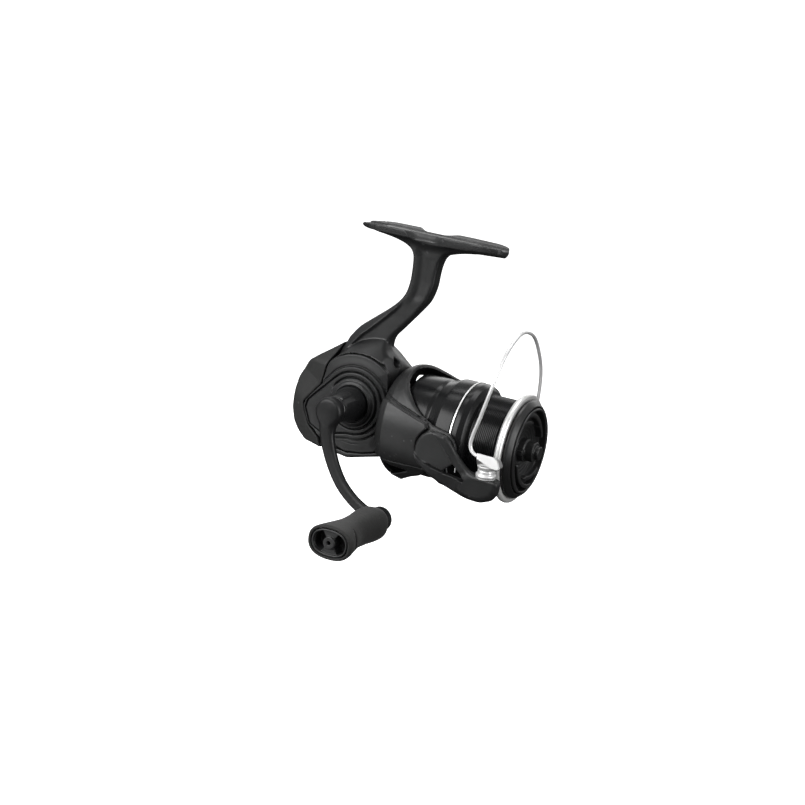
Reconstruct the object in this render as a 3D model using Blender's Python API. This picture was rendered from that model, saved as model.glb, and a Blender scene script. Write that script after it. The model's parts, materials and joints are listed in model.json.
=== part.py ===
"""Spinning reel for a light rod, modelled as the assembly that comes apart on a bench.

Frames, all in millimetres until mesh_object scales them to metres:
- the world: origin at the middle of the foot's top face, +X forward along the spool, +Z up to the rod;
- the shaft frame: origin where the handle axis passes over the main shaft, axes as the world;
- the rotor frame: the shaft frame turned about X by ROTOR_ANGLE, so that its arms point along Y.
"""

import math

import bmesh
import bpy
from mathutils import Vector

MM = 0.001
GAP = 0.3  # clearance between neighbouring pieces

# Driving dimensions
FOOT_CENTRE_X = 20.0  # foot's middle ahead of the handle axis
FOOT_HEIGHT = 80.0  # foot's top face above the main shaft
DRIVE_Z = 5.0  # hypoid offset of the handle axis above the main shaft
HANDLE_THROW = (30.5, -37.5)  # knob axis from the handle axis, X and Z
ROTOR_ANGLE = math.radians(5.0)
BAIL_PIVOT_X = 46.0
ROLLER_CENTRE = (69.3, -28.2, -1.6)  # in the rotor frame
SHAFT_R = 2.0
SPOOL_LIP_R = 23.0
STROKE = 12.0

LARGE = 32  # segments round the spool and rotor
FINE = 24  # segments round a large turned piece
MEDIUM = 20
COARSE = 12


# ---------------------------------------------------------------- materials


def material(name, colour, roughness, metallic=0.0):
    made = bpy.data.materials.new(name)
    made.use_nodes = True
    shader = made.node_tree.nodes["Principled BSDF"]
    shader.inputs["Base Color"].default_value = (*colour, 1.0)
    shader.inputs["Roughness"].default_value = roughness
    shader.inputs["Metallic"].default_value = metallic
    made.diffuse_color = (*colour, 1.0)
    return made


def clear_scene():
    for old in list(bpy.data.objects):
        bpy.data.objects.remove(old, do_unlink=True)


# ---------------------------------------------------------------- frames


class Frame:
    """An empty that pieces hang on, and where it lies in the frame that their points are given in."""

    def __init__(self, name, parent=None, at=(0, 0, 0), turn_x=0.0, new_frame=False):
        self.origin = Vector((0, 0, 0)) if new_frame else Vector(at)
        self.empty = bpy.data.objects.new(name, None)
        bpy.context.scene.collection.objects.link(self.empty)
        step = Vector(at)
        if parent:
            self.empty.parent = parent.empty
            step = step - parent.origin
        self.empty.location = step * MM
        self.empty.rotation_euler = (turn_x, 0, 0)


# ---------------------------------------------------------------- mesh tools


def finish(name, bm, look, frame, smooth=True):
    bmesh.ops.recalc_face_normals(bm, faces=bm.faces)
    mesh = bpy.data.meshes.new(name)
    bm.to_mesh(mesh)
    bm.free()
    mesh.materials.append(look)
    if smooth:
        mesh.shade_smooth()
        mesh.set_sharp_from_angle(angle=math.radians(35))
    made = bpy.data.objects.new(name, mesh)
    bpy.context.scene.collection.objects.link(made)
    made.parent = frame.empty
    return made


def mesh_object(name, points, faces, look, frame, smooth=True):
    """A mesh whose points are given in millimetres in its frame's own coordinates."""
    bm = bmesh.new()
    verts = [bm.verts.new((Vector(p) - frame.origin) * MM) for p in points]
    for face in faces:
        bm.faces.new([verts[i] for i in face])
    return finish(name, bm, look, frame, smooth)


def turned(name, profile, look, frame, axis="X", centre=(0, 0), segments=MEDIUM):
    """A closed (along, radius) profile turned about an axis that crosses the other two at centre."""
    points, rings = [], []
    for along, radius in profile:
        count = 1 if radius < 1e-6 else segments
        rings.append(range(len(points), len(points) + count))
        for k in range(count):
            a = 2 * math.pi * k / segments
            u, v = centre[0] + radius * math.cos(a), centre[1] + radius * math.sin(a)
            points.append({"X": (along, u, v), "Y": (u, along, v), "Z": (u, v, along)}[axis])
    faces = []
    for i, ring in enumerate(rings):
        after = rings[(i + 1) % len(rings)]
        for k in range(segments):
            n = (k + 1) % segments
            corners = [ring[k % len(ring)], ring[n % len(ring)], after[n % len(after)],
                       after[k % len(after)]]
            distinct = list(dict.fromkeys(corners))
            if len(distinct) > 2:
                faces.append(distinct)
    return mesh_object(name, points, faces, look, frame)


def tube(name, span, radii, look, frame, axis="X", centre=(0, 0), segments=COARSE):
    """A plain ring, or a rod where the inner radius is 0."""
    (a, b), (inner, outer) = span, radii
    return turned(name, [(a, inner), (a, outer), (b, outer), (b, inner)], look, frame, axis, centre,
                  segments)


def extruded(name, outline, span, look, frame, axis="Y", bevel=0.0, smooth=False):
    """A flat outline pushed along an axis, with its edges bevelled."""
    count = len(outline)
    points = []
    for along in span:
        for u, v in outline:
            points.append({"X": (along, u, v), "Y": (u, along, v), "Z": (u, v, along)}[axis])
    sides = [(k, (k + 1) % count, count + (k + 1) % count, count + k) for k in range(count)]
    faces = [tuple(range(count)), tuple(range(count, 2 * count)), *sides]
    made = mesh_object(name, points, faces, look, frame, smooth)
    if bevel:
        add = made.modifiers.new("edge", "BEVEL")
        add.width = bevel * MM
        add.segments = 1
        add.limit_method = "ANGLE"
        add.angle_limit = math.radians(50)
    return made


def lofted(name, rings, look, frame, smooth=True):
    """A skin over rings that all have the same number of points, closed by a face at each end."""
    count = len(rings[0])
    points = [p for ring in rings for p in ring]
    faces = [tuple(range(count)), tuple(range(len(points) - count, len(points)))]
    for i in range(len(rings) - 1):
        for k in range(count):
            n = (k + 1) % count
            faces.append((i * count + k, i * count + n, (i + 1) * count + n, (i + 1) * count + k))
    return mesh_object(name, points, faces, look, frame, smooth)


def oval(half_u, half_v, power=2.0, segments=MEDIUM):
    """Points round a superellipse: power 2 is an ellipse, and more is squarer."""
    shape = []
    for k in range(segments):
        a = 2 * math.pi * k / segments
        c, s = math.cos(a), math.sin(a)
        shape.append((
            half_u * math.copysign(abs(c) ** (2 / power), c),
            half_v * math.copysign(abs(s) ** (2 / power), s),
        ))
    return shape


def arc(centre, radius, start, end, steps):
    """Points along an arc, its angles in degrees."""
    shape = []
    for k in range(steps + 1):
        a = math.radians(start + (end - start) * k / steps)
        shape.append((centre[0] + radius * math.cos(a), centre[1] + radius * math.sin(a)))
    return shape


def smooth_path(points, per_span=4):
    """A Catmull-Rom curve through the points."""
    ends = [points[0], *points, points[-1]]
    path = []
    for a, b, c, d in zip(ends, ends[1:], ends[2:], ends[3:]):
        a, b, c, d = (Vector(p) for p in (a, b, c, d))
        for k in range(per_span):
            t = k / per_span
            path.append(0.5 * (2 * b + (c - a) * t + (2 * a - 5 * b + 4 * c - d) * t * t
                               + (3 * b - a - 3 * c + d) * t ** 3))
    path.append(Vector(points[-1]))
    return path


def boolean(target, other, operation):
    """Cuts, joins or intersects target with other, which becomes a hidden helper."""
    add = target.modifiers.new(operation.lower(), "BOOLEAN")
    add.operation = operation
    add.object = other
    other.hide_render = True
    other.display_type = "WIRE"


def cut(target, *cutters):
    for cutter in cutters:
        boolean(target, cutter, "DIFFERENCE")


def join(target, *others):
    for other in others:
        boolean(target, other, "UNION")


def bearing(name, at, radii, width, look, frame, axis="X", centre=(0, 0)):
    """A small ball bearing as one shielded ring, stepped down between its two races."""
    inner, outer = radii
    step = inner + (outer - inner) * 0.7
    a, b, dip = at, at + width, 0.25
    profile = [(a + dip, inner), (a + dip, step), (a, step), (a, outer), (b, outer), (b, step),
               (b - dip, step),
               (b - dip, inner)]
    return turned(name, profile, look, frame, axis, centre, COARSE)


def screw(name, at, axis, direction, look, frame, head_r=1.7, length=3.6):
    """A pan-head screw whose head's top is at the given point and whose thread runs along direction."""
    index = "XYZ".index(axis)
    centre = [at[i] for i in range(3) if i != index]
    z, d = at[index], direction
    profile = [
        (z, 0), (z, head_r * 0.8), (z + 0.4 * d, head_r), (z + 1.2 * d, head_r),
        (z + 1.2 * d, head_r * 0.5), (z + length * d, head_r * 0.5), (z + length * d, 0),
    ]
    return turned(name, profile, look, frame, axis, centre, COARSE)


# ---------------------------------------------------------------- frame: housing, stem and foot

HOUSING_Y = (-12.0, 13.0)
WALL = 2.0
HOUSING_OUTLINE = [
    (14.8, -15.5), (6.5, -17.7), (-1.0, -20.0), (-11.4, -18.8), (-17.0, -17.9), (-22.8, -17.2),
    (-26.8, -13.8), (-29.4, -10.0), (-30.8, -4.0), (-30.8, 3.2), (-29.8, 9.3), (-25.8, 17.4),
    (-21.2, 21.0), (-12.0, 27.6), (8.0, 27.4), (12.6, 23.4), (14.8, 19.5),
]
CAVITY_OUTLINE = [
    (12.4, -14.0), (6.0, -15.5), (-1.0, -17.6), (-16.0, -15.8), (-23.4, -14.6), (-25.6, -12.8),
    (-27.2, -9.5), (-28.7, -3.5), (-28.4, 3.5), (-24.6, 14.5), (-20.0, 18.2), (-10.0, 24.0),
    (6.5, 24.0), (12.4, 19.0),
]
# The line in the side view where the rear cover meets the body, top to bottom.
SEAM = [(-12.4, 27.6), (-15.4, 18.4), (-17.0, 9.4), (-24.4, 0.0), (-23.6, -3.4), (-20.6, -9.6),
        (-15.4, -14.0),
        (-13.0, -19.8)]
COVER_CENTRE = (0.0, DRIVE_Z)
COVER_R = 20.4  # round edge of the side cover about the handle axis
NOSE_R = 12.2
NOSE_X = (14.0, 22.6)


def seam_region(shift):
    """Everything behind the seam, moved forward by shift, as an outline."""
    line = [(x + shift, z) for x, z in SEAM]
    return [(line[0][0], 45.0), *line, (line[-1][0], -40.0), (-60.0, -40.0), (-60.0, 45.0)]


def side_outline(grow=0.0):
    """The side cover's edge: a round top about the handle axis and a pointed rear."""
    r = COVER_R + grow
    rear = [(-15.0 - grow, 17.4), (-16.5 - grow, 9.6), (-23.7 - grow, 0.1), (-22.9 - grow, -3.3),
            (-19.9 - grow, -9.1), (-14.9, -13.2 - grow)]
    front = [(6.0, -15.6 - grow), (12.0, -13.8 - grow), (14.4 + grow, -9.0), (14.4 + grow, 15.0)]
    return [*arc(COVER_CENTRE, r, 50, 133, 9), *rear, (-2.0, -16.6 - grow), *front]


def teardrop(radius, point):
    """The raised plate round the handle shaft: a circle drawn out to a blunt point at the rear."""
    cx, cz = COVER_CENTRE
    return [*arc((cx, cz), radius, -95, 140, 16), (cx - point + 0.8, 1.6), (cx - point, -1.6),
            (cx - point + 2.8, -8.0), (cx - 13.8, 3.8 - radius), (cx - 8.5, -11.6)]


FOOT_HALF_LENGTH = 33.0
FOOT_THICK = 4.4  # at the stem
FOOT_TAPER = 1.8  # how much thinner the ends are
FOOT_PLAN = [
    (-33.0, 0.0), (-32.3, 2.4), (-30.3, 4.4), (-27.0, 6.3), (-23.0, 7.4), (-8.2, 7.9), (-5.0, 5.4),
    (-1.5, 4.1),
    (3.5, 4.1), (6.5, 5.4), (9.0, 7.9), (25.0, 7.3), (29.0, 6.4), (31.5, 4.6), (32.7, 2.4), (33.0, 0.0),
]
TROUGH_DEPTH = 0.7
STEM_SECTIONS = [  # centre X, centre Z, half chord, half thickness, lean of the chord in degrees
    (19.6, 77.6, 13.5, 4.0, 0), (19.6, 75.0, 9.8, 3.7, 0), (19.5, 71.5, 6.4, 3.6, 0),
    (19.2, 66.5, 5.0, 3.6, 3),
    (18.9, 60.5, 4.7, 3.7, 5), (18.0, 54.0, 4.7, 3.9, 14), (15.4, 48.6, 4.9, 4.3, 38),
    (9.6, 43.2, 5.2, 4.9, 50),
    (3.2, 37.4, 5.5, 5.6, 50), (-1.2, 31.6, 7.4, 7.2, 34), (-2.2, 26.6, 11.4, 9.6, 6),
    (-2.2, 22.0, 13.0, 10.6, 0),
]


def stem_rings(segments=16):
    rings = []
    for x, z, chord, thick, lean in STEM_SECTIONS:
        c, s = math.cos(math.radians(lean)), math.sin(math.radians(lean))
        rings.append([(x + u * c, v, z - u * s) for u, v in oval(chord, thick, 2.6, segments)])
    return rings


def make_foot(look, frame):
    """The long plate that the rod's seat clamps, thin at its ends, with a shallow trough in each half."""
    edge = [*FOOT_PLAN, *[(x, -y) for x, y in FOOT_PLAN[-2:0:-1]]]
    rings = []
    for drop, shrink in ((0.0, 0.35), (0.4, 0.0), (1.0, 0.0), (1.0, 0.9)):
        ring = []
        for x, y in edge:
            thick = FOOT_THICK - FOOT_TAPER * (abs(x) / FOOT_HALF_LENGTH) ** 1.2
            size = 1 - shrink / 16.0
            depth = drop * thick if drop > 0.5 else drop
            ring.append((FOOT_CENTRE_X + x * size, y * (1 - shrink / 6.5), FOOT_HEIGHT - depth))
        rings.append(ring)
    foot = lofted("foot_plate_helper", rings, look, frame)
    for side, (near, far) in enumerate(((-27.0, -9.5), (10.0, 27.5))):
        trough = [(FOOT_CENTRE_X + near, -3.0), (FOOT_CENTRE_X + far, -3.6), (FOOT_CENTRE_X + far, 3.6),
                  (FOOT_CENTRE_X + near, 3.0)]
        span = (FOOT_HEIGHT - TROUGH_DEPTH, FOOT_HEIGHT + 2.0)
        cut(foot, extruded(f"foot_trough_{side}", trough, span, look, frame, axis="Z"))
    return foot


def make_body_frame(look, frame):
    body = extruded("body_frame", HOUSING_OUTLINE, HOUSING_Y, look, frame, bevel=2.6)
    nose = tube("nose_helper", NOSE_X, (0.0, NOSE_R), look, frame, segments=FINE)
    stem = lofted("stem_helper", stem_rings(), look, frame)
    join(stem, make_foot(look, frame))
    join(body, nose, stem)
    cavity = extruded("cavity_helper", CAVITY_OUTLINE, (-11.99 - 3.0, HOUSING_Y[1] - WALL), look, frame)
    rear = extruded("rear_region_helper", seam_region(GAP), (-30.0, 30.0), look, frame)
    recess = extruded("cover_seat_helper", side_outline(GAP), (-30.0, -12.0 + 2.2), look, frame)
    bore = turned(
        "nose_bore_helper",
        [(12.0, 0), (12.0, 6.3), (18.1, 6.3), (18.1, 11.0), (30.0, 11.0), (30.0, 0)], look, frame,
        segments=FINE)
    left_hole = tube("left_hole_helper", (8.0, 30.0), (0.0, 7.4), look, frame, "Y", COVER_CENTRE,
                     MEDIUM)
    front_hole = tube("front_hole_helper", (5.0, 30.0), (0.0, 1.5), look, frame, "X", (-3.6, 22.4), 12)
    cut(body, cavity, rear, left_hole, front_hole, recess, bore)
    return body


def make_rear_cover(look, frame):
    """The guard that wraps the back of the housing."""
    cover = extruded("rear_cover", HOUSING_OUTLINE, HOUSING_Y, look, frame, bevel=2.6)
    keep = extruded("rear_keep_helper", seam_region(0.0), (-30.0, 30.0), look, frame)
    boolean(cover, keep, "INTERSECT")
    hollow = extruded("rear_hollow_helper", CAVITY_OUTLINE, (HOUSING_Y[0] + WALL, HOUSING_Y[1] - WALL),
                      look, frame)
    cut(cover, hollow)
    return cover


def make_side_cover(look, frame):
    cover = extruded("side_cover", side_outline(), (-13.4, -12.0 + 2.2 - GAP), look, frame, bevel=0.5)
    plate = extruded("cover_plate_helper", teardrop(15.2, 23.0), (-14.6, -13.0), look, frame, bevel=0.5)
    boss = turned(
        "cover_boss_helper",
        [(-13.0, 0), (-14.5, 12.4), (-15.6, 11.8), (-15.6, 10.6), (-16.3, 10.2), (-17.2, 9.4),
         (-17.2, 0)],
        look, frame, "Y", COVER_CENTRE, FINE)
    join(cover, plate, boss)
    socket = turned(
        "cover_socket_helper",
        [(-20.0, 0), (-20.0, 8.1), (-15.6, 8.1), (-15.6, 4.2), (-14.3, 4.2), (-14.3, 6.3), (-5.0, 6.3),
         (-5.0, 0)],
        look, frame, "Y", COVER_CENTRE, FINE)
    cut(cover, socket)
    return cover


SLIDER_RODS = ((-6.0, -10.4), (6.5, -10.4))  # Y and Z of the two guide rods
SLIDER_OUTLINE = [(-8.6, -12.4), (8.6, -12.4), (8.6, 11.5), (6.8, 11.5), (6.8, -8.4), (3.4, -6.0),
                  (3.4, 3.6),
                  (-3.4, 3.6), (-3.4, -6.0), (-8.6, -8.4)]


BODY_SCREWS = (  # name, the piece it passes through, X and Z of its axis
    ("body_screw_top", "body_frame", (-8.0, 21.6)),
    ("body_screw_bottom", "body_frame", (8.6, -13.2)),
    ("rear_cover_screw", "rear_cover", (-26.0, 2.0)),
)


def make_frame_group(looks, frame):
    black, satin, steel, rubber = looks["body"], looks["satin"], looks["steel"], looks["seal"]
    make_body_frame(black, frame)
    make_rear_cover(satin, frame)
    make_side_cover(black, frame)
    turned("left_cap", [(11.5, 0), (11.5, 7.0), (13.3, 7.0), (13.3, 9.6), (15.6, 9.2), (16.6, 7.8),
                        (16.6, 0)],
           satin, frame, "Y", COVER_CENTRE, MEDIUM)
    bearing("drive_bearing_right", -13.9, (2.9, 6.0), 2.6, steel, frame, "Y", COVER_CENTRE)
    bearing("drive_bearing_left", 8.4, (2.9, 6.0), 2.6, steel, frame, "Y", COVER_CENTRE)
    bearing("pinion_bearing_front", 14.6, (3.2, 6.0), 3.0, steel, frame)
    bearing("pinion_bearing_rear", 3.1, (3.2, 4.2), 1.6, steel, frame)
    bracket = extruded("pinion_bracket", [(-3.2, -14.2), (6.6, -14.2), (6.6, 0.4), (-3.2, 0.4)],
                       (3.1, 4.7), satin,
                       frame, axis="X")
    cut(bracket, tube("bracket_bore_helper", (0.0, 10.0), (0.0, 4.5), satin, frame, segments=MEDIUM))
    tube("one_way_clutch", (18.4, 21.8), (6.2, 10.7), steel, frame, segments=MEDIUM)
    tube("clutch_seal", (22.9, 23.3), (5.9, 11.6), rubber, frame, segments=MEDIUM)
    for name, rod in zip(("slider_rod_near", "slider_rod_far"), SLIDER_RODS):
        tube(name, (-25.9, 1.6), (0.0, 1.0), steel, frame, "X", rod)
    for name, host, at in BODY_SCREWS:
        screw(name, (at[0], HOUSING_Y[1] - 0.2, at[1]), "Y", -1, steel, frame)
        seat = turned(name + "_hole", [(5.0, 0), (5.0, 1.15), (11.3, 1.15), (11.3, 2.0), (20.0, 2.0),
                                       (20.0, 0)], steel,
                      frame, "Y", at, COARSE)
        cut(bpy.data.objects[host], seat)


# ---------------------------------------------------------------- drive: handle, shaft and gears


OSC_Y = (3.8, 5.6)  # the plane that the oscillation gears turn in


def toothed_disc(name, teeth, radii, span, look, frame, axis, centre, phase=0.0, twist=0.0):
    """A gear with trapezoid teeth, the first at phase of a pitch; twist turns its far face."""
    root, tip = radii
    rings = []
    layers = 4 if twist else 1
    for layer in range(layers + 1):
        along = span[0] + (span[1] - span[0]) * layer / layers
        ring = []
        for k in range(teeth):
            for part, radius in ((-0.28, root), (-0.17, tip), (0.17, tip), (0.28, root)):
                a = 2 * math.pi * (k + phase + part) / teeth + twist * layer / layers
                u, v = centre[0] + radius * math.cos(a), centre[1] + radius * math.sin(a)
                ring.append({"X": (along, u, v), "Y": (u, along, v)}[axis])
        rings.append(ring)
    return lofted(name, rings, look, frame, smooth=False)


DRIVE_GEAR_R = 12.0
FACE_TEETH = 42


def make_drive_gear(look, frame):
    """The face gear: a disc whose rim carries radial teeth on the side that the pinion lies on."""
    gear = turned("drive_gear", [(-4.6, 2.9), (-4.6, 5.0), (-5.4, 5.4), (-5.4, 8.6), (-4.6, 8.8),
                                 (-4.6, DRIVE_GEAR_R),
                                 (-7.4, DRIVE_GEAR_R), (-7.4, 6.0), (-8.1, 5.2), (-8.1, 2.9)],
                  look, frame, "Y", COVER_CENTRE, FINE)
    cx, cz = COVER_CENTRE
    points, faces = [], []
    for k in range(FACE_TEETH):
        for share, radius, y in ((0.0, 9.0, -5.0), (0.0, 11.8, -5.0), (0.5, 11.8, -5.0),
                                 (0.5, 9.0, -5.0),
                                 (0.12, 9.3, -3.7), (0.12, 11.6, -3.7), (0.38, 11.6, -3.7),
                                 (0.38, 9.3, -3.7)):
            a = 2 * math.pi * (k + share + 0.05 * (radius - 9.0)) / FACE_TEETH
            points.append((cx + radius * math.cos(a), y, cz + radius * math.sin(a)))
        o = 8 * k
        faces += [(o, o + 1, o + 2, o + 3), (o + 4, o + 5, o + 6, o + 7), (o, o + 1, o + 5, o + 4),
                  (o + 1, o + 2, o + 6, o + 5), (o + 2, o + 3, o + 7, o + 6), (o + 3, o, o + 4, o + 7)]
    join(gear, mesh_object("face_teeth_helper", points, faces, look, frame, smooth=False))
    return gear


ARM_PATH = [  # X, Y, Z of the arm's middle, its half width and half thickness
    (0.0, -34.0, 5.0, 5.2, 2.3), (0.1, -34.2, 0.0, 3.6, 2.1), (0.6, -34.6, -4.5, 3.1, 1.9),
    (2.8, -35.2, -10.8, 2.8, 1.8), (6.1, -36.0, -16.8, 2.6, 1.7), (10.8, -36.9, -22.8, 2.5, 1.7),
    (16.8, -37.6, -27.6, 2.4, 1.7), (23.2, -38.1, -30.9, 2.4, 1.7), (28.5, -38.4, -32.4, 2.8, 1.7),
]
KNOB_Y = (-41.2, -80.6)
KNOB_SECTIONS = [  # share of the length from the arm, half width along X, half height along Z
    (0.0, 4.9, 4.8), (0.02, 6.0, 5.8), (0.10, 7.2, 6.6), (0.22, 7.3, 6.6), (0.40, 6.4, 6.3),
    (0.58, 6.3, 6.2),
    (0.76, 7.8, 6.5), (0.90, 9.2, 6.8), (0.97, 9.5, 6.9), (1.0, 9.0, 6.5),
]


def make_handle(looks, drive, knob):
    black, steel, satin = looks["alloy"], looks["steel"], looks["satin"]
    cx, cz = COVER_CENTRE
    knob_x, knob_z = cx + HANDLE_THROW[0], cz + HANDLE_THROW[1]
    make_drive_gear(looks["brass"], drive)
    tube("drive_shaft", (-31.0, 11.2), (0.0, 2.6), steel, drive, "Y", COVER_CENTRE, COARSE)
    toothed_disc("oscillation_pinion", OSC_TEETH // 2, (3.4, 4.15), OSC_Y, steel, drive, "Y",
                 COVER_CENTRE)
    cut(bpy.data.objects["oscillation_pinion"],
        tube("oscillation_pinion_bore", (0, 9), (0.0, 2.9), steel, drive, "Y", COVER_CENTRE, COARSE))
    turned("handle_collar", [(-16.0, 2.9), (-16.0, 7.3), (-18.0, 7.4), (-22.5, 7.0), (-28.0, 5.7),
                             (-30.9, 5.5),
                             (-30.9, 2.9)], looks["gloss"], drive, "Y", COVER_CENTRE, FINE)
    hub = turned("handle_arm", [(-31.3, 0), (-31.3, 5.5), (-32.0, 5.9), (-35.6, 5.6), (-36.8, 4.2),
                                (-37.1, 0)],
                 black, drive, "Y", COVER_CENTRE, FINE)
    rings = []
    path = [Vector(p[:3]) for p in ARM_PATH]
    for i, (x, y, z, wide, thick) in enumerate(ARM_PATH):
        along = path[min(i + 1, len(path) - 1)] - path[max(i - 1, 0)]
        across = Vector((-along.z, 0, along.x)).normalized()
        rings.append([Vector((x, y, z)) + across * u + Vector((0, v, 0)) for u,
                      v in oval(wide, thick, 2.8, 12)])
    join(hub, lofted("arm_blade_helper", rings, black, drive))
    join(hub,
         turned("arm_end_helper", [(-36.2, 0), (-36.2, 4.6), (-36.8, 5.1), (-39.6, 5.1), (-40.4, 4.4),
                                   (-40.4, 0)],
                     black, drive, "Y", (knob_x, knob_z), MEDIUM))
    tube("knob_spindle", (-70.0, -40.7), (0.0, 1.6), steel, drive, "Y", (knob_x, knob_z), COARSE)

    rings = []
    for share, wide, high in KNOB_SECTIONS:
        y = KNOB_Y[0] + (KNOB_Y[1] - KNOB_Y[0]) * share
        rings.append([(knob_x + u, y, knob_z + v) for u, v in oval(wide, high, 2.3, 20)])
    grip = lofted("handle_knob", rings, looks["grip"], knob)
    bore = turned("knob_bore_helper", [(-30.0, 0), (-30.0, 3.6), (-44.2, 3.6), (-44.2, 2.2),
                                       (-66.0, 2.2), (-66.0, 3.6),
                                       (-72.0, 3.6), (-72.0, 0)], looks["grip"], knob, "Y",
                                       (knob_x, knob_z), COARSE)
    recess = extruded("knob_recess_helper", [(knob_x + u, knob_z + v) for u,
                                             v in oval(7.7, 5.2, 2.3, 20)],
                      (-90.0, -71.6), looks["grip"], knob)
    cut(grip, bore, recess)
    bearing("knob_bearing_inner", -43.9, (1.9, 3.3), 2.3, steel, knob, "Y", (knob_x, knob_z))
    bearing("knob_bearing_outer", -69.0, (1.9, 3.3), 2.3, steel, knob, "Y", (knob_x, knob_z))
    cap = extruded("knob_end_cap", [(knob_x + u, knob_z + v) for u, v in oval(7.4, 4.9, 2.3, 20)],
                   (-80.4, -73.0), satin, knob)
    for side in (-1, 1):
        pocket = [(knob_x + side * (1.6 + u), knob_z + v) for u, v in
                  [(0.0, -3.1), (2.0, -3.6), (3.8, -2.6), (4.7, -1.0), (4.7, 1.0), (3.8, 2.6),
                   (2.0, 3.6), (0.0, 3.1)]]
        cut(cap, extruded(f"cap_pocket_{side + 1}", pocket, (-90.0, -75.0), satin, knob))
    join(cap, tube("cap_post_helper", (-80.4, -74.0), (0.0, 2.5), satin, knob, "Y", (knob_x, knob_z),
                   COARSE))
    cut(cap, tube("cap_hole_helper", (-90.0, -76.0), (0.0, 0.7), satin, knob, "Y", (knob_x, knob_z),
                  12))


OSC_GEAR = (-11.6, DRIVE_Z)  # X and Z of the oscillation gear's axis
OSC_TEETH = 20


def make_oscillation(looks, gear_frame):
    """The gear that the drive shaft turns, whose crank pin pushes the slider."""
    gear = toothed_disc("oscillation_gear", OSC_TEETH, (7.2, 7.95), OSC_Y, looks["steel"], gear_frame,
                        "Y",
                        OSC_GEAR, phase=0.5)
    join(gear, tube("crank_pin_helper", (4.0, 6.5), (0.0, 1.2), looks["steel"], gear_frame, "Y",
                    (OSC_GEAR[0] + STROKE / 2, OSC_GEAR[1])))
    return gear


# ---------------------------------------------------------------- rotor

ROTOR_SKIN = [(15.6, 20.3), (17.4, 22.4), (20.0, 24.2), (24.0, 24.9), (60.0, 25.1)]
ROTOR_INSIDE = [(60.0, 23.5), (24.0, 23.2), (19.2, 22.0), (17.6, 20.4)]
HUB_R = (12.9, 15.2)  # the cup that the spool's skirt slides over
ROTOR_FLOOR = [(17.6, HUB_R[1]), (27.0, HUB_R[1]), (27.0, 3.3), (24.1, 3.3), (24.1, HUB_R[0]),
               (15.6, HUB_R[0])]
ARM_COVER_SKIN = [(15.9, 22.6), (17.4, 24.6), (20.0, 25.9), (30.0, 26.4), (44.0, 26.5)]
ARM_COVER_INSIDE = [(44.0, 25.5), (24.0, 25.3), (20.0, 24.6), (17.4, 22.9), (15.9, 21.1)]
ARM_EDGE = [(22.4, 30.0), (22.6, 23.6), (24.2, 20.0), (27.0, 16.4), (31.0, 13.0), (36.0, 10.4),
            (41.0, 9.0)]
ARM_TIP_R = 8.0


def rotor_outline():
    """Side view of the rotor: a full rear band that narrows to an arm with a round end."""
    top = ARM_EDGE
    tip = arc((BAIL_PIVOT_X, 0.0), ARM_TIP_R, 80, -80, 10)
    return [(10.0, 30.0), *top, *tip, *[(x, -z) for x, z in reversed(top)], (10.0, -30.0)]


def make_rotor(looks, rotor):
    black = looks["body"]
    shell = turned("rotor", ROTOR_SKIN + ROTOR_INSIDE + ROTOR_FLOOR, black, rotor, segments=LARGE)
    boolean(shell, extruded("rotor_outline_helper", rotor_outline(), (-40, 40), black, rotor),
            "INTERSECT")
    for side in (-1, 1):
        window = [(18.9, side * 12.6), (28.6, side * 16.0), (21.0, side * 19.9)]
        span = (-40.0, -1.0) if side < 0 else (1.0, 40.0)
        cut(shell, extruded(f"rotor_window_{side + 1}", window, span, black, rotor))
        cut(shell, tube(f"pivot_hole_{side + 1}", sorted((side * 16.0, side * 35.0)), (0.0, 2.3), black,
                        rotor, "Y",
                        (BAIL_PIVOT_X, 0.0)))
    return shell


def make_arm_cover(name, side, looks, rotor):
    """The skin that closes one arm; side is -1 for the line roller's arm."""
    cover = turned(name, ARM_COVER_SKIN + ARM_COVER_INSIDE, looks["body"], rotor, segments=LARGE)
    outline = [(15.0, -11.6), (15.0, 12.4), (18.7, 14.2), (38.9, 8.9)]
    outline += arc((BAIL_PIVOT_X, 0.0), 9.8, 129, 231, 8)
    outline += [(38.9, -9.6), (20.5, -13.0)]
    span = (0.0, 40.0) if side > 0 else (-40.0, 0.0)
    boolean(cover, extruded(name + "_limit", outline, span, looks["body"], rotor), "INTERSECT")
    return cover


def make_rotor_group(looks, rotor):
    make_rotor(looks, rotor)
    make_arm_cover("arm_cover_roller_side", -1, looks, rotor)
    make_arm_cover("arm_cover_far_side", 1, looks, rotor)
    brass, steel = looks["brass"], looks["steel"]
    pinion = turned("pinion_gear", [(2.6, 2.3), (2.6, 2.9), (28.6, 2.9), (28.6, 2.3)], brass, rotor,
                    segments=COARSE)
    teeth = toothed_disc("pinion_teeth_helper", 8, (2.8, 3.3), (8.2, 12.1), brass, rotor, "X", (0, 0),
                         twist=0.7)
    cut(teeth, tube("pinion_teeth_bore", (0, 20), (0.0, 2.6), brass, rotor, segments=COARSE))
    join(pinion, teeth)
    turned("clutch_sleeve", [(18.6, 3.2), (18.6, 5.6), (22.6, 5.6), (22.6, 5.2), (23.6, 5.2),
                             (23.6, 3.2)], steel, rotor,
           segments=MEDIUM)
    nut = extruded("rotor_nut", oval(6.0, 6.0, 2.0, 6), (27.2, 29.6), brass, rotor, axis="X")
    cut(nut, tube("rotor_nut_bore", (20, 40), (0.0, 3.2), brass, rotor, segments=COARSE))
    for name, low, high in (("pivot_pin_roller_side", -28.0, -23.7),
                            ("pivot_pin_far_side", 23.7, 28.0)):
        tube(name, (low, high), (0.0, 2.0), steel, rotor, "Y", (BAIL_PIVOT_X, 0.0))


# ---------------------------------------------------------------- bail

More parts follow.
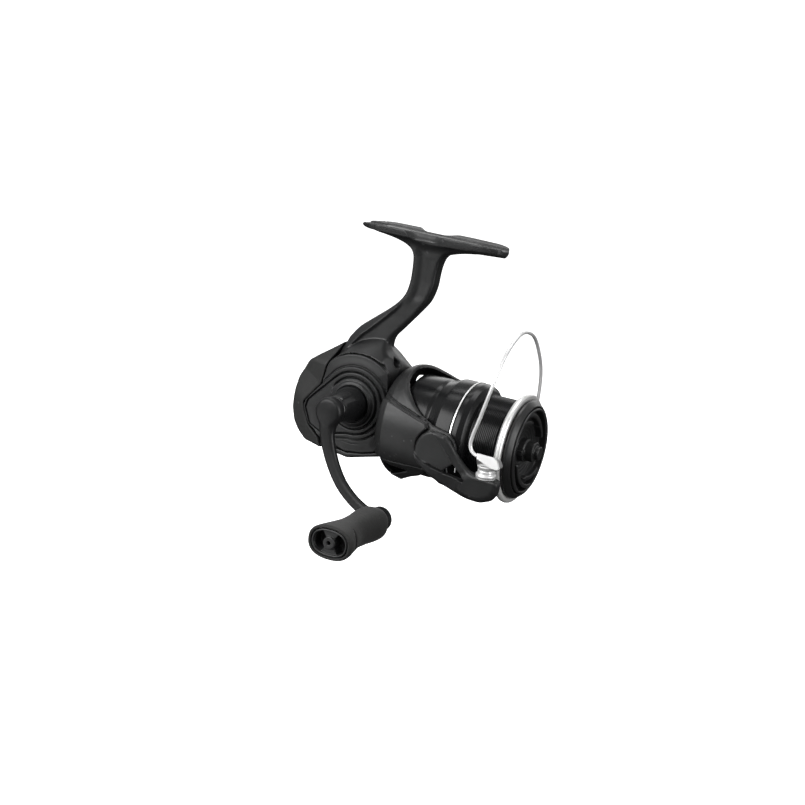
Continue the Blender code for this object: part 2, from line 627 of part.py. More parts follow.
LEVER_Y = (-29.9, -26.8)
LEVER_OUTLINE = [  # from the pivot, forward and up
    *arc((0, 0), 9.2, 62, 245, 14), (3.4, -11.2), (12.6, -13.6), (19.0, -14.2), (24.0, -13.0),
    (27.8, -9.8),
    (28.9, -6.6), (28.4, -5.0), (18.4, -5.0), (15.2, -3.2), (11.2, 0.6), (7.4, 5.0),
]
LEVER_WINDOW = [(5.6, -6.4), (9.4, -3.4), (15.0, -8.6), (8.2, -9.6)]
FAR_LEVER_OUTLINE = [*arc((0, 0), 8.6, 60, 262, 14), (6.0, -7.6), (14.0, -3.2), (20.2, 0.6),
                     (20.6, 4.4), (16.5, 5.4),
                     (8.0, 6.2)]
WIRE_R = 0.75
WIRE_ROUTE = [
    (65.2, -27.4, 2.9), (63.0, -27.3, 3.3), (61.0, -27.0, 5.4), (60.9, -26.7, 9.5), (63.2, -26.1, 18.4),
    (65.6, -24.2, 29.6), (66.4, -20.6, 37.0), (66.7, -12.5, 44.6), (66.7, -0.5, 48.4),
    (66.9, 11.5, 44.6),
    (67.1, 20.2, 34.4), (67.1, 24.5, 24.8), (66.5, 26.1, 14.1), (65.0, 27.4, 7.0), (62.6, 28.4, 3.0),
]


def make_bail(looks, bail, roller):
    black, steel, silver = looks["body"], looks["steel"], looks["silver"]
    rx, ry, rz = ROLLER_CENTRE
    lever = extruded("bail_lever", [(BAIL_PIVOT_X + u, v) for u, v in LEVER_OUTLINE], LEVER_Y, black,
                     bail, bevel=0.8)
    seat = extruded("lever_seat_helper", [(BAIL_PIVOT_X + u, v) for u, v in
                                          [(13.0, -12.8), (20.0, -13.4), (24.5, -12.4), (27.6, -9.6),
                                           (28.5, -6.6),
                                           (28.2, -5.0), (19.0, -5.0), (14.5, -7.0)]],
                    (-31.6, -25.0), black, bail, bevel=1.2)
    join(lever, seat)
    cut(lever, extruded("lever_window_helper", [(BAIL_PIVOT_X + u, v) for u, v in LEVER_WINDOW],
                        (-40, -20), black,
                        bail))
    cut(lever, tube("lever_pivot_helper", (-28.4, -20), (0.0, 2.3), black, bail, "Y",
                    (BAIL_PIVOT_X, 0)))
    cut(lever, tube("lever_screw_helper", (-14.0, 0.0), (0.0, 1.6), black, bail, "Z", (rx, ry), 12))
    far = extruded("bail_lever_far", [(BAIL_PIVOT_X + u, v) for u, v in FAR_LEVER_OUTLINE],
                   (26.8, 29.9), black, bail,
                   bevel=0.8)
    cut(far, tube("far_pivot_helper", (20, 28.4), (0.0, 2.3), black, bail, "Y", (BAIL_PIVOT_X, 0)))
    cut(far, wire("far_socket_helper", [*WIRE_ROUTE[-4:], (61.6, 28.8, 1.7)], 1.15, looks["silver"],
                  bail))
    wire("bail_wire", WIRE_ROUTE, WIRE_R, looks["wire"], bail)
    base = [(rx + u, ry + v, 1.0) for u, v in oval(5.6, 4.2, 2.0, MEDIUM)]
    middle = [(rx - 1.2 + u, ry + 0.1 + v, 3.4) for u, v in oval(4.6, 3.7, 2.0, MEDIUM)]
    top = [(rx - 3.2 + u, ry + 0.4 + v, 5.6) for u, v in oval(2.6, 2.6, 2.0, MEDIUM)]
    tip = [(rx - 4.0 + u, ry + 0.5 + v, 6.4) for u, v in oval(1.2, 1.4, 2.0, MEDIUM)]
    cone = lofted("wire_cone", [base, middle, top, tip], silver, bail)
    cut(cone, wire("cone_socket_helper", [(66.0, -27.4, 2.9), *WIRE_ROUTE[:4]], 1.15, silver, bail))
    turned("roller_axle", [(-11.6, 0), (-11.6, 1.3), (0.7, 1.3), (0.7, 0)], steel, bail, "Z", (rx, ry),
           COARSE)
    tube("roller_bearing", (-3.5, 0.2), (1.6, 2.5), steel, bail, "Z", (rx, ry), COARSE)
    tube("roller_washer", (-4.6, -4.2), (1.6, 4.0), looks["wire"], bail, "Z", (rx, ry), MEDIUM)
    turned("line_roller", [(-3.9, 2.8), (-3.9, 4.1), (-3.3, 4.1), (-2.6, 3.5), (-0.9, 3.5), (0.0, 4.1),
                           (0.6, 4.1),
                           (0.6, 2.8)], looks["wire"], roller, "Z", (rx, ry), MEDIUM)


def wire(name, route, radius, look, frame):
    """A round wire along a smooth curve through the route, as a ring of points carried along it."""
    path = smooth_path(route, 2)
    rings = []
    side = None
    for i, at in enumerate(path):
        along = (path[min(i + 1, len(path) - 1)] - path[max(i - 1, 0)]).normalized()
        side = Vector((1, 0, 0)) if side is None else side
        side = (side - along * side.dot(along)).normalized()
        up = along.cross(side)
        rings.append([at + side * u + up * v for u, v in oval(radius, radius, 2.0, 8)])
    return lofted(name, rings, look, frame)


# ---------------------------------------------------------------- spool, shaft and drag

SPOOL_PROFILE = [
    (24.4, 19.4), (24.4, 20.8), (35.4, 21.1), (37.0, 20.7), (40.0, 21.7), (42.0, 22.6), (48.3, 22.7),
    (48.3, 22.1), (49.5, 22.1), (49.5, 22.7), (51.6, 22.7), (53.8, 21.9),
    (55.0, 20.2), (55.4, 18.9), (67.6, 19.0), (68.4, 19.5), (68.4, 12.4), (60.2, 12.4), (60.2, 2.4),
    (50.6, 2.4),
    (50.6, 9.0), (52.6, 17.0), (50.0, 19.4),
]
LIP_PROFILE = [(68.7, 13.0), (68.7, 20.2), (69.4, 22.3), (70.2, 22.9), (71.2, SPOOL_LIP_R),
               (71.9, 22.5),
               (71.9, 13.0)]
FLANGE_PROFILE = [(72.2, 18.3), (72.2, 22.0), (73.2, 21.9), (75.4, 19.8), (75.4, 18.3)]
KNOB_R = 17.9


def lens(half_height, half_width, steps):
    """An upright pointed oval made of two arcs."""
    radius = (half_height ** 2 + half_width ** 2) / (2 * half_width)
    span = math.degrees(math.asin(half_height / radius))
    right = arc((half_width - radius, 0), radius, -span, span, steps)
    left = arc((radius - half_width, 0), radius, 180 - span, 180 + span, steps)
    return right[:-1] + left[:-1]


def make_drag_knob(looks, frame):
    knob = turned("drag_knob", [(70.4, 0), (70.4, 12.6), (72.2, 12.7), (72.2, KNOB_R), (75.6, KNOB_R),
                                (76.2, 17.3),
                                (76.4, 0)], looks["satin"], frame, segments=FINE)
    cut(knob, extruded("knob_lens_helper", lens(16.4, 10.4, 10), (73.4, 90.0), looks["satin"], frame,
                       axis="X"))
    for k, radius in enumerate((9.6, 8.0)):
        cut(knob, tube(f"knob_step_{k}", (72.7 - 0.7 * k, 90.0), (0.0, radius), looks["satin"], frame,
                       segments=MEDIUM))
    join(knob,
         turned("knob_hub_helper", [(71.0, 0), (71.0, 5.2), (77.6, 5.0), (78.0, 4.6), (78.0, 2.6),
                                    (80.2, 2.2),
                                          (80.4, 0)], looks["satin"], frame, segments=MEDIUM))
    cut(knob, tube("knob_thread_helper", (60.0, 76.4), (0.0, 2.4), looks["satin"], frame,
                   segments=COARSE))
    return knob


def make_spool_group(looks, shaft, spool, drag):
    steel, silver, black = looks["steel"], looks["silver"], looks["gloss"]
    turned("main_shaft", [(-20.6, 0), (-20.6, 2.9), (-19.3, 2.9), (-19.3, SHAFT_R), (75.8, SHAFT_R),
                          (75.8, 0)],
           steel, shaft, segments=COARSE)
    slider = extruded("oscillation_slider", SLIDER_OUTLINE, (-19.0, -15.0), looks["satin"], shaft,
                      axis="X")
    cut(slider, tube("slider_bore_helper", (-30, -10), (0.0, 2.3), steel, shaft))
    for k, rod in enumerate(SLIDER_RODS):
        cut(slider, tube(f"slider_rod_hole_{k}", (-30, -10), (0.0, 1.3), steel, shaft, "X", rod))
    turned("click_gear", [(45.0, 2.3), (45.0, 8.0), (47.0, 8.0), (47.0, 4.5), (50.2, 4.0), (50.2, 2.3)],
           steel, shaft,
           segments=MEDIUM)
    tube("drag_plate", (62.2, 63.2), (2.3, 11.4), steel, shaft, segments=MEDIUM)
    turned("spool", SPOOL_PROFILE, black, spool, segments=LARGE)
    turned("spool_lip_ring", LIP_PROFILE, silver, spool, segments=LARGE)
    turned("spool_front_flange", FLANGE_PROFILE, looks["satin"], spool, segments=LARGE)
    tube("skirt_trim_ring", (48.6, 49.2), (22.4, 22.9), silver, spool, segments=LARGE)
    tube("drag_washer_rear", (60.5, 61.9), (2.6, 11.9), looks["seal"], spool, segments=MEDIUM)
    tube("drag_washer_front", (63.5, 64.9), (2.6, 11.9), looks["seal"], spool, segments=MEDIUM)
    tube("drag_pressure_plate", (65.2, 66.4), (3.4, 11.4), steel, drag, segments=MEDIUM)
    tube("drag_spring", (66.8, 70.0), (3.4, 5.0), steel, drag, segments=COARSE)
    make_drag_knob(looks, drag)


# ---------------------------------------------------------------- assembly


def main():
    clear_scene()
    looks = {
        "body": material("body_black", (0.028, 0.028, 0.028), 0.5),
        "satin": material("satin_black", (0.022, 0.022, 0.023), 0.42),
        "gloss": material("gloss_black", (0.012, 0.012, 0.013), 0.22, 0.6),
        "grip": material("grip_rubber", (0.03, 0.03, 0.028), 0.75),
        "seal": material("seal_rubber", (0.05, 0.05, 0.05), 0.8),
        "alloy": material("alloy_black", (0.028, 0.028, 0.028), 0.45, 0.3),
        "wire": material("polished_steel", (0.8, 0.8, 0.8), 0.18, 1.0),
        "silver": material("silver", (0.85, 0.85, 0.84), 0.22, 1.0),
        "steel": material("steel", (0.6, 0.6, 0.6), 0.3, 1.0),
        "brass": material("brass", (0.7, 0.52, 0.25), 0.3, 1.0),
    }
    reel = Frame("reel_axis", at=(-FOOT_CENTRE_X, 0, -FOOT_HEIGHT), new_frame=True)
    drive = Frame("drive_axis", reel, (0, 0, DRIVE_Z))
    knob = Frame("knob_axis", drive, (HANDLE_THROW[0], 0, DRIVE_Z + HANDLE_THROW[1]))
    gear = Frame("oscillation_axis", reel, (OSC_GEAR[0], 0, OSC_GEAR[1]))
    rotor = Frame("rotor_axis", reel, (0, 0, 0), ROTOR_ANGLE)
    bail = Frame("bail_axis", rotor, (BAIL_PIVOT_X, 0, 0))
    roller = Frame("roller_axis", bail, ROLLER_CENTRE)
    shaft = Frame("shaft_axis", reel)
    spool = Frame("spool_axis", shaft)
    drag = Frame("drag_axis", shaft)
    make_frame_group(looks, reel)
    make_handle(looks, drive, knob)
    make_oscillation(looks, gear)
    make_rotor_group(looks, rotor)
    make_bail(looks, bail, roller)
    make_spool_group(looks, shaft, spool, drag)


main()
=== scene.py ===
"""The looks of a spinning reel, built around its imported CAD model.

Shapes are written in millimetres in one of two frames: the shaft frame, whose origin lies where the
handle axis passes over the main shaft, and the rotor frame, which is the shaft frame turned about X.
Moulded pieces are fields (negative inside) that skin() turns into meshes; round pieces are turned.
"""

import json
import math

import bpy
import numpy as np
from mathutils import Matrix, Vector


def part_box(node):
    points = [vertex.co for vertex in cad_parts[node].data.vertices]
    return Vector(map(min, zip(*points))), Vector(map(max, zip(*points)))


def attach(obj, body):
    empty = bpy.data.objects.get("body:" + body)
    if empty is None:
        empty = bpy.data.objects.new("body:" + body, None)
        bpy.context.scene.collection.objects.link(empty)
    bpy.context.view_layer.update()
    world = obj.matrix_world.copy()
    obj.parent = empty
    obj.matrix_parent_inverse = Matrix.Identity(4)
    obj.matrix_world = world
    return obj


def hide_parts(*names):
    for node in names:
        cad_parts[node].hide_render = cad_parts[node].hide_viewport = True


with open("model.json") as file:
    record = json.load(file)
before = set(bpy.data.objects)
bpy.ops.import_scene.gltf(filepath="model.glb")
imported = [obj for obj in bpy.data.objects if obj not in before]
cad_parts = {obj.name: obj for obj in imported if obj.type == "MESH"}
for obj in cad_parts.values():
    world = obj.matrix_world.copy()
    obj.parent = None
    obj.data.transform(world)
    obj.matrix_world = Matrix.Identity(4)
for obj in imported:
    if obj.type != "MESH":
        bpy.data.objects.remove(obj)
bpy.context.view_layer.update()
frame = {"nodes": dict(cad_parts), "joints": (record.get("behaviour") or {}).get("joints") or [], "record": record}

MM = 0.001
JOINTS = {joint["name"]: joint for joint in frame["joints"]}
SHAFT_ORIGIN = Vector((JOINTS["handle_spin"]["pos_m"][0], 0.0, JOINTS["rotor_spin"]["pos_m"][2]))
BAIL_AXIS = JOINTS["bail_flip"]["axis"]
ROTOR_TURN = math.atan2(BAIL_AXIS[2], BAIL_AXIS[1])
DRIVE_Z = (JOINTS["handle_spin"]["pos_m"][2] - SHAFT_ORIGIN.z) / MM
PIVOT_X = (JOINTS["bail_flip"]["pos_m"][0] - SHAFT_ORIGIN.x) / MM
KNOB_X = (JOINTS["knob_spin"]["pos_m"][0] - SHAFT_ORIGIN.x) / MM
KNOB_Z = (JOINTS["knob_spin"]["pos_m"][2] - SHAFT_ORIGIN.z) / MM
FOOT_X = -SHAFT_ORIGIN.x / MM
FOOT_TOP = -SHAFT_ORIGIN.z / MM
DRIVE = (0.0, DRIVE_Z)
SHAFT_FRAME = Matrix.Translation(SHAFT_ORIGIN) @ Matrix.Scale(MM, 4)
ROTOR_FRAME = SHAFT_FRAME @ Matrix.Rotation(ROTOR_TURN, 4, "X")
SEAM_GAP = 0.45  # visible gap between the moulded covers


# ---------------------------------------------------------------- outlines and paths


def arc(centre, radius, start, end, steps):
    """Points along an arc, its angles in degrees."""
    angles = np.radians(np.linspace(start, end, steps + 1))
    return [(centre[0] + radius * math.cos(a), centre[1] + radius * math.sin(a)) for a in angles]


def fillet(outline, size, steps=4, closed=True):
    """The outline with each corner rounded off over about size on each side."""
    points = [Vector(p) for p in outline]
    count = len(points)
    rounded = []
    for i, corner in enumerate(points):
        if not closed and i in (0, count - 1):
            rounded.append(tuple(corner))
            continue
        before, after = points[i - 1] - corner, points[(i + 1) % count] - corner
        a = corner + before.normalized() * min(size, before.length * 0.48)
        b = corner + after.normalized() * min(size, after.length * 0.48)
        for k in range(steps + 1):
            t = k / steps
            rounded.append(tuple(a * (1 - t) ** 2 + corner * 2 * t * (1 - t) + b * t * t))
    return rounded


def smooth_path(points, per_span=8):
    """A Catmull-Rom curve through the points, which may hold more numbers than a place."""
    points = np.array(points, float)
    ends = np.vstack([points[:1], points, points[-1:]])
    path = []
    for a, b, c, d in zip(ends, ends[1:], ends[2:], ends[3:]):
        for t in np.arange(per_span) / per_span:
            path.append(0.5 * (2 * b + (c - a) * t + (2 * a - 5 * b + 4 * c - d) * t * t
                               + (3 * b - a - 3 * c + d) * t ** 3))
    return np.array([*path, points[-1]])


# ---------------------------------------------------------------- fields

TABLE_PITCH = 0.2
TABLE_MARGIN = 5.0


class Plan:
    """How far points lie outside a flat closed outline, negative inside, read from a fine table."""

    def __init__(self, outline):
        corners = np.array(outline, float)
        self.low = corners.min(0) - TABLE_MARGIN
        counts = ((corners.max(0) + TABLE_MARGIN - self.low) / TABLE_PITCH).astype(int) + 2
        u, v = np.meshgrid(*(self.low[i] + TABLE_PITCH * np.arange(counts[i]) for i in (0, 1)),
                           indexing="ij")
        nearest = np.full(u.shape, np.inf)
        inside = np.zeros(u.shape, bool)
        for (au, av), (bu, bv) in zip(corners, np.roll(corners, -1, axis=0)):
            eu, ev = bu - au, bv - av
            wu, wv = u - au, v - av
            t = np.clip((wu * eu + wv * ev) / (eu * eu + ev * ev + 1e-12), 0, 1)
            nearest = np.minimum(nearest, (wu - t * eu) ** 2 + (wv - t * ev) ** 2)
            if av != bv:
                inside ^= ((av > v) != (bv > v)) & (u < eu * (v - av) / ev + au)
        self.table = np.where(inside, -1, 1) * np.sqrt(nearest)
        self.top = counts - 1.001

    def __call__(self, u, v):
        gu, gv = (u - self.low[0]) / TABLE_PITCH, (v - self.low[1]) / TABLE_PITCH
        cu, cv = np.clip(gu, 0, self.top[0]), np.clip(gv, 0, self.top[1])
        i, j = cu.astype(int), cv.astype(int)
        fu, fv = cu - i, cv - j
        t = self.table
        low_side = t[i, j] * (1 - fu) + t[i + 1, j] * fu
        high_side = t[i, j + 1] * (1 - fu) + t[i + 1, j + 1] * fu
        return low_side * (1 - fv) + high_side * fv + np.hypot(gu - cu, gv - cv) * TABLE_PITCH


def union(a, b, soft=0.3):
    """Both solids, with the crease between them filled over about soft."""
    h = np.clip(0.5 + 0.5 * (b - a) / soft, 0, 1)
    return b * (1 - h) + a * h - soft * h * (1 - h)


def common(a, b, soft=0.3):
    """What the solids share, with its edges rounded over about soft."""
    return -union(-a, -b, soft)


def carve(a, b, soft=0.3):
    """The first solid without the second."""
    return -union(-a, b, soft)


def slab(along, low, high):
    return np.maximum(low - along, along - high)


def ramp(value, low, high):
    """0 below low, 1 above high, and smooth between them."""
    t = np.clip((value - low) / (high - low), 0, 1)
    return t * t * (3 - 2 * t)


def bump(value, centre, width):
    return np.exp(-((value - centre) / width) ** 2)


def cylinder(u, v, along, radius, low, high, soft=0.3):
    return common(np.hypot(u, v) - radius, slab(along, low, high), soft)


class Bar:
    """A bar swept along a smooth path of (place, half width, half thickness) rows, wide in the XZ plane."""

    def __init__(self, rows, power=2.6, per_span=14):
        path = smooth_path(rows, per_span)
        self.at, self.half = path[:, :3], path[:, 3:5]
        self.along = np.gradient(self.at, axis=0)
        self.along /= np.linalg.norm(self.along, axis=1)[:, None]
        across = np.stack([-self.along[:, 2], np.zeros(len(path)), self.along[:, 0]], 1)
        self.across = across / np.linalg.norm(across, axis=1)[:, None]
        self.normal = np.cross(self.along, self.across)
        self.power = power

    def __call__(self, p):
        found = np.empty(len(p), int)
        for start in range(0, len(p), 20000):
            part = p[start:start + 20000]
            gap = ((part[:, None, :] - self.at[None]) ** 2).sum(2)
            found[start:start + 20000] = gap.argmin(1)
        offset = p - self.at[found]
        u = (offset * self.across[found]).sum(1)
        v = (offset * self.normal[found]).sum(1)
        beyond = (offset * self.along[found]).sum(1)
        wide, thick = self.half[found].T
        ring = (abs(u / wide) ** self.power + abs(v / thick) ** self.power + 1e-9) ** (1 / self.power)
        inside = (ring - 1) * np.minimum(wide, thick)
        at_end = (found == 0) | (found == len(self.at) - 1)
        return np.where(at_end, np.maximum(inside, abs(beyond)), inside)


# ---------------------------------------------------------------- skinning a field

BLOCK = 8  # nodes along one side of a block that is sampled, or skipped, as one
CORNERS = np.array([(i, j, k) for i in (0, 1) for j in (0, 1) for k in (0, 1)])
EDGES = [(a, b) for a in range(8) for b in range(8) if a < b and abs(CORNERS[a] - CORNERS[b]).sum() == 1]


def sample(field, axes, pitch, slack):
    """The field's value at each node of a grid; far from the surface, only its sign is right."""
    shape = [len(a) for a in axes]
    centres = [a[::BLOCK] + pitch * (BLOCK - 1) / 2 for a in axes]
    blocks = np.stack(np.meshgrid(*centres, indexing="ij"), -1)
    coarse = field(blocks.reshape(-1, 3)).reshape(blocks.shape[:3])
    near = abs(coarse) < pitch * BLOCK * 0.87 * 1.3 + slack
    spread = lambda a: a.repeat(BLOCK, 0).repeat(BLOCK, 1).repeat(BLOCK, 2)[:shape[0], :shape[1],
                                                                            :shape[2]]
    values = spread(coarse).copy()
    where = np.nonzero(spread(near))
    values[where] = field(np.stack([axes[i][where[i]] for i in range(3)], 1))
    return values


def surface_nets(values, axes, pitch):
    """One vertex in each cell that the surface crosses, and one quad across each edge that it crosses."""
    inside = values < 0
    size = [n - 1 for n in inside.shape]
    filled = sum(inside[i:i + size[0], j:j + size[1], k:k + size[2]].astype(np.int8) for i, j,
                 k in CORNERS)
    cells = np.argwhere((filled > 0) & (filled < 8))
    number = np.full(size, -1, np.int64)
    number[tuple(cells.T)] = np.arange(len(cells))
    corner_values = np.stack([values[tuple((cells + c).T)] for c in CORNERS], 1)
    total, hits = np.zeros((len(cells), 3)), np.zeros(len(cells))
    for a, b in EDGES:
        va, vb = corner_values[:, a], corner_values[:, b]
        crossed = (va < 0) != (vb < 0)
        t = np.where(crossed, va / np.where(crossed, va - vb, 1), 0)
        total += np.where(crossed[:, None], CORNERS[a] + t[:, None] * (CORNERS[b] - CORNERS[a]), 0)
        hits += crossed
    start = np.array([a[0] for a in axes])
    points = start + pitch * (cells + total / hits[:, None])
    quads = []
    for axis in range(3):
        lower = [slice(1, n) for n in size]
        upper = list(lower)
        lower[axis], upper[axis] = slice(0, size[axis]), slice(1, size[axis] + 1)
        a, b = inside[tuple(lower)], inside[tuple(upper)]
        offset = np.ones(3, int)
        offset[axis] = 0
        u, v = [np.eye(3, dtype=int)[(axis + s) % 3] for s in (1, 2)]
        for edges, turned_over in ((np.argwhere(a & ~b), False), (np.argwhere(~a & b), True)):
            at = edges + offset
            ring = [at - u - v, at - v, at, at - u]
            ring = ring[::-1] if turned_over else ring
            quads.append(np.stack([number[tuple(c.T)] for c in ring], 1))
    return points, np.concatenate(quads)


def settle(field, points, pitch, rounds=2):
    """Moves the points onto the exact surface, along the field's slope."""
    step = 0.02
    for _ in range(rounds):
        value = field(points)
        slope = np.stack([field(points + step * e) - value for e in np.eye(3)], 1) / step
        steep = (slope ** 2).sum(1)
        move = -slope * (value / np.maximum(steep, 0.2))[:, None]
        length = np.linalg.norm(move, axis=1)
        points = points + move * np.minimum(1, 0.5 * pitch / np.maximum(length, 1e-9))[:, None]
    return points


ON_ROTOR = ("rotor", "bail", "line_roller")


def placed(name, data):
    """A new object in the scene."""
    made = bpy.data.objects.new(name, data)
    bpy.context.scene.collection.objects.link(made)
    return made


def mesh_piece(node, body, points, faces, look, smooth_angle=None):
    """A piece, with its points in mm in its body's frame, that stands for a CAD node or adds to the CAD."""
    matrix = np.array(ROTOR_FRAME if body in ON_ROTOR else SHAFT_FRAME)
    world = np.asarray(points, float) @ matrix[:3, :3].T + matrix[:3, 3]
    name = node + "_skin" if node in frame["nodes"] else node
    mesh = bpy.data.meshes.new(name)
    mesh.from_pydata(world.tolist(), [], [list(map(int, f)) for f in faces])
    mesh.shade_smooth()
    if smooth_angle:
        mesh.set_sharp_from_angle(angle=math.radians(smooth_angle))
    mesh.materials.append(LOOKS[look])
    piece = placed(name, mesh)
    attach(piece, body)
    if node in frame["nodes"]:
        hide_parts(node)


def skin(node, body, field, box, pitch, look, slack=0.0):
    """The surface of a field inside a box of (low, high) corners."""
    low, high = (np.array(c, float) for c in box)
    axes = [low[i] + pitch * np.arange(int((high[i] - low[i]) / pitch) + 2) for i in range(3)]
    values = sample(field, axes, pitch, slack)
    points, quads = surface_nets(values, axes, pitch)
    mesh_piece(node, body, settle(field, points, pitch), quads, look)


def lathe(node, body, profile, look, axis="X", centre=(0.0, 0.0), segments=128, corner=0.2):
    """A closed (along, radius) profile with its corners rounded, turned about an axis."""
    profile = fillet(profile, corner, 3) if corner else profile
    angles = 2 * np.pi * np.arange(segments) / segments
    points, rings = [], []
    for along, radius in profile:
        turn = angles[:1] if radius < 1e-6 else angles
        rings.append(np.arange(len(points), len(points) + len(turn)))
        for a in turn:
            u, v = centre[0] + radius * math.cos(a), centre[1] + radius * math.sin(a)
            points.append({"X": (along, u, v), "Y": (u, along, v), "Z": (u, v, along)}[axis])
    faces = []
    for ring, after in zip(rings, rings[1:] + rings[:1]):
        for k in range(segments):
            n = (k + 1) % segments
            corners = [ring[k % len(ring)], after[k % len(after)], after[n % len(after)],
                       ring[n % len(ring)]]
            distinct = list(dict.fromkeys(corners))
            if len(distinct) > 2:
                faces.append(distinct if axis != "Y" else distinct[::-1])
    if signed_area(profile) > 0:
        faces = [f[::-1] for f in faces]
    mesh_piece(node, body, points, faces, look, 40)


def signed_area(outline):
    p = np.array(outline)
    q = np.roll(p, -1, axis=0)
    return 0.5 * (p[:, 0] * q[:, 1] - q[:, 0] * p[:, 1]).sum()


def tube_along(node, body, route, radius, look, sides=20):
    """A round wire along a path of points, with its ends closed."""
    route = np.array(route, float)
    along = np.gradient(route, axis=0)
    along /= np.linalg.norm(along, axis=1)[:, None]
    side = np.array([1.0, 0.0, 0.0])
    points = []
    for at, t in zip(route, along):
        side = side - t * (side @ t)
        side /= np.linalg.norm(side)
        up = np.cross(t, side)
        for a in 2 * np.pi * np.arange(sides) / sides:
            points.append(at + radius * (side * math.cos(a) + up * math.sin(a)))
    faces = [list(range(sides))[::-1], list(range(len(points) - sides, len(points)))]
    for i in range(len(route) - 1):
        for k in range(sides):
            n = (k + 1) % sides
            faces.append((i * sides + k, i * sides + n, (i + 1) * sides + n, (i + 1) * sides + k))
    mesh_piece(node, body, points, faces, look, 50)


# ---------------------------------------------------------------- materials


def shader_of(name):
    made = bpy.data.materials.new(name)
    made.use_nodes = True
    return made, made.node_tree, made.node_tree.nodes["Principled BSDF"]


def noise(tree, scale, detail=3.0, stretch=None):
    """A noise that sticks to the piece; stretch scales it along each axis."""
    place = tree.nodes.new("ShaderNodeTexCoord").outputs["Object"]
    if stretch:
        mapping = tree.nodes.new("ShaderNodeMapping")
        mapping.inputs["Scale"].default_value = stretch
        tree.links.new(place, mapping.inputs["Vector"])
        place = mapping.outputs["Vector"]
    node = tree.nodes.new("ShaderNodeTexNoise")
    node.inputs["Scale"].default_value = scale
    node.inputs["Detail"].default_value = detail
    tree.links.new(place, node.inputs["Vector"])
    return node.outputs["Fac"]


def scaled(tree, value, low, high, start=0.3, end=0.7):
    node = tree.nodes.new("ShaderNodeMapRange")
    for name, number in (("From Min", start), ("From Max", end), ("To Min", low), ("To Max", high)):
        node.inputs[name].default_value = number
    tree.links.new(value, node.inputs["Value"])
    return node.outputs["Result"]


def mixed(tree, share, first, second):
    node = tree.nodes.new("ShaderNodeMix")
    node.data_type = "RGBA"
    tree.links.new(share, node.inputs["Factor"])
    for socket, colour in ((node.inputs["A"], first), (node.inputs["B"], second)):
        if isinstance(colour, tuple):
            socket.default_value = (*colour, 1.0)
        else:
            tree.links.new(colour, socket)
    return node.outputs["Result"]


def bumped(tree, shader, height, distance):
    node = tree.nodes.new("ShaderNodeBump")
    node.inputs["Distance"].default_value = distance * MM
    node.inputs["Strength"].default_value = 1.0
    tree.links.new(height, node.inputs["Height"])
    tree.links.new(node.outputs["Normal"], shader.inputs["Normal"])


def moulded(name, colour, roughness, specular, grain=0.02, edge=1.6, spread=1.0, sheen=0.0):
    """Paint or plastic: a fine pebble grain, faint cloudiness, and a painted highlight that makes edges paler;
    edge sets how pale.
    """
    made, tree, shader = shader_of(name)
    shader.inputs["Specular IOR Level"].default_value = specular
    shader.inputs["Sheen Weight"].default_value = sheen
    shader.inputs["Sheen Roughness"].default_value = 0.5
    darker = tuple(c * 0.82 for c in colour)
    lighter = tuple(c * 1.18 for c in colour)
    body = mixed(tree, scaled(tree, noise(tree, 90.0), 0, 1), darker, lighter)
    # Painted highlight: sharp convex edges, found by pointiness and broken up by noise, are mixed towards a paler
    # colour that stands in for light catching the rounded edges.
    edge_highlight_mask = scaled(tree, tree.nodes.new("ShaderNodeNewGeometry").outputs["Pointiness"], 0.0, 1.0, 0.53,
                  0.59)
    patchy_edge_highlight = tree.nodes.new("ShaderNodeMath")
    patchy_edge_highlight.operation = "MULTIPLY"
    tree.links.new(edge_highlight_mask, patchy_edge_highlight.inputs[0])
    tree.links.new(scaled(tree, noise(tree, 420.0), 0.35, 1.0), patchy_edge_highlight.inputs[1])
    # pale is the painted edge highlight's colour: edge times the base colour.
    pale = tuple(c * edge + 0.004 for c in colour)
    tree.links.new(mixed(tree, patchy_edge_highlight.outputs[0], body, pale), shader.inputs["Base Color"])
    tree.links.new(scaled(tree, noise(tree, 700.0, 4.0), roughness - 0.05 * spread,
                          roughness + 0.06 * spread), shader.inputs["Roughness"])
    bumped(tree, shader, noise(tree, 3600.0, 2.0), grain)
    return made


def metal(name, colour, roughness, brush, axis_stretch, scale=900.0, metallic=1.0):
    """Bare or plated metal with fine turning or drawing marks across axis_stretch's long axis."""
    made, tree, shader = shader_of(name)
    shader.inputs["Metallic"].default_value = metallic
    smudges = scaled(tree, noise(tree, 130.0), 0, 1)
    dull = tuple(c * 0.86 for c in colour)
    tree.links.new(mixed(tree, smudges, dull, colour), shader.inputs["Base Color"])
    marks = noise(tree, scale, 2.0, axis_stretch)
    tree.links.new(scaled(tree, marks, roughness - 0.04, roughness + 0.07), shader.inputs["Roughness"])
    if brush:
        bumped(tree, shader, marks, brush)
    return made


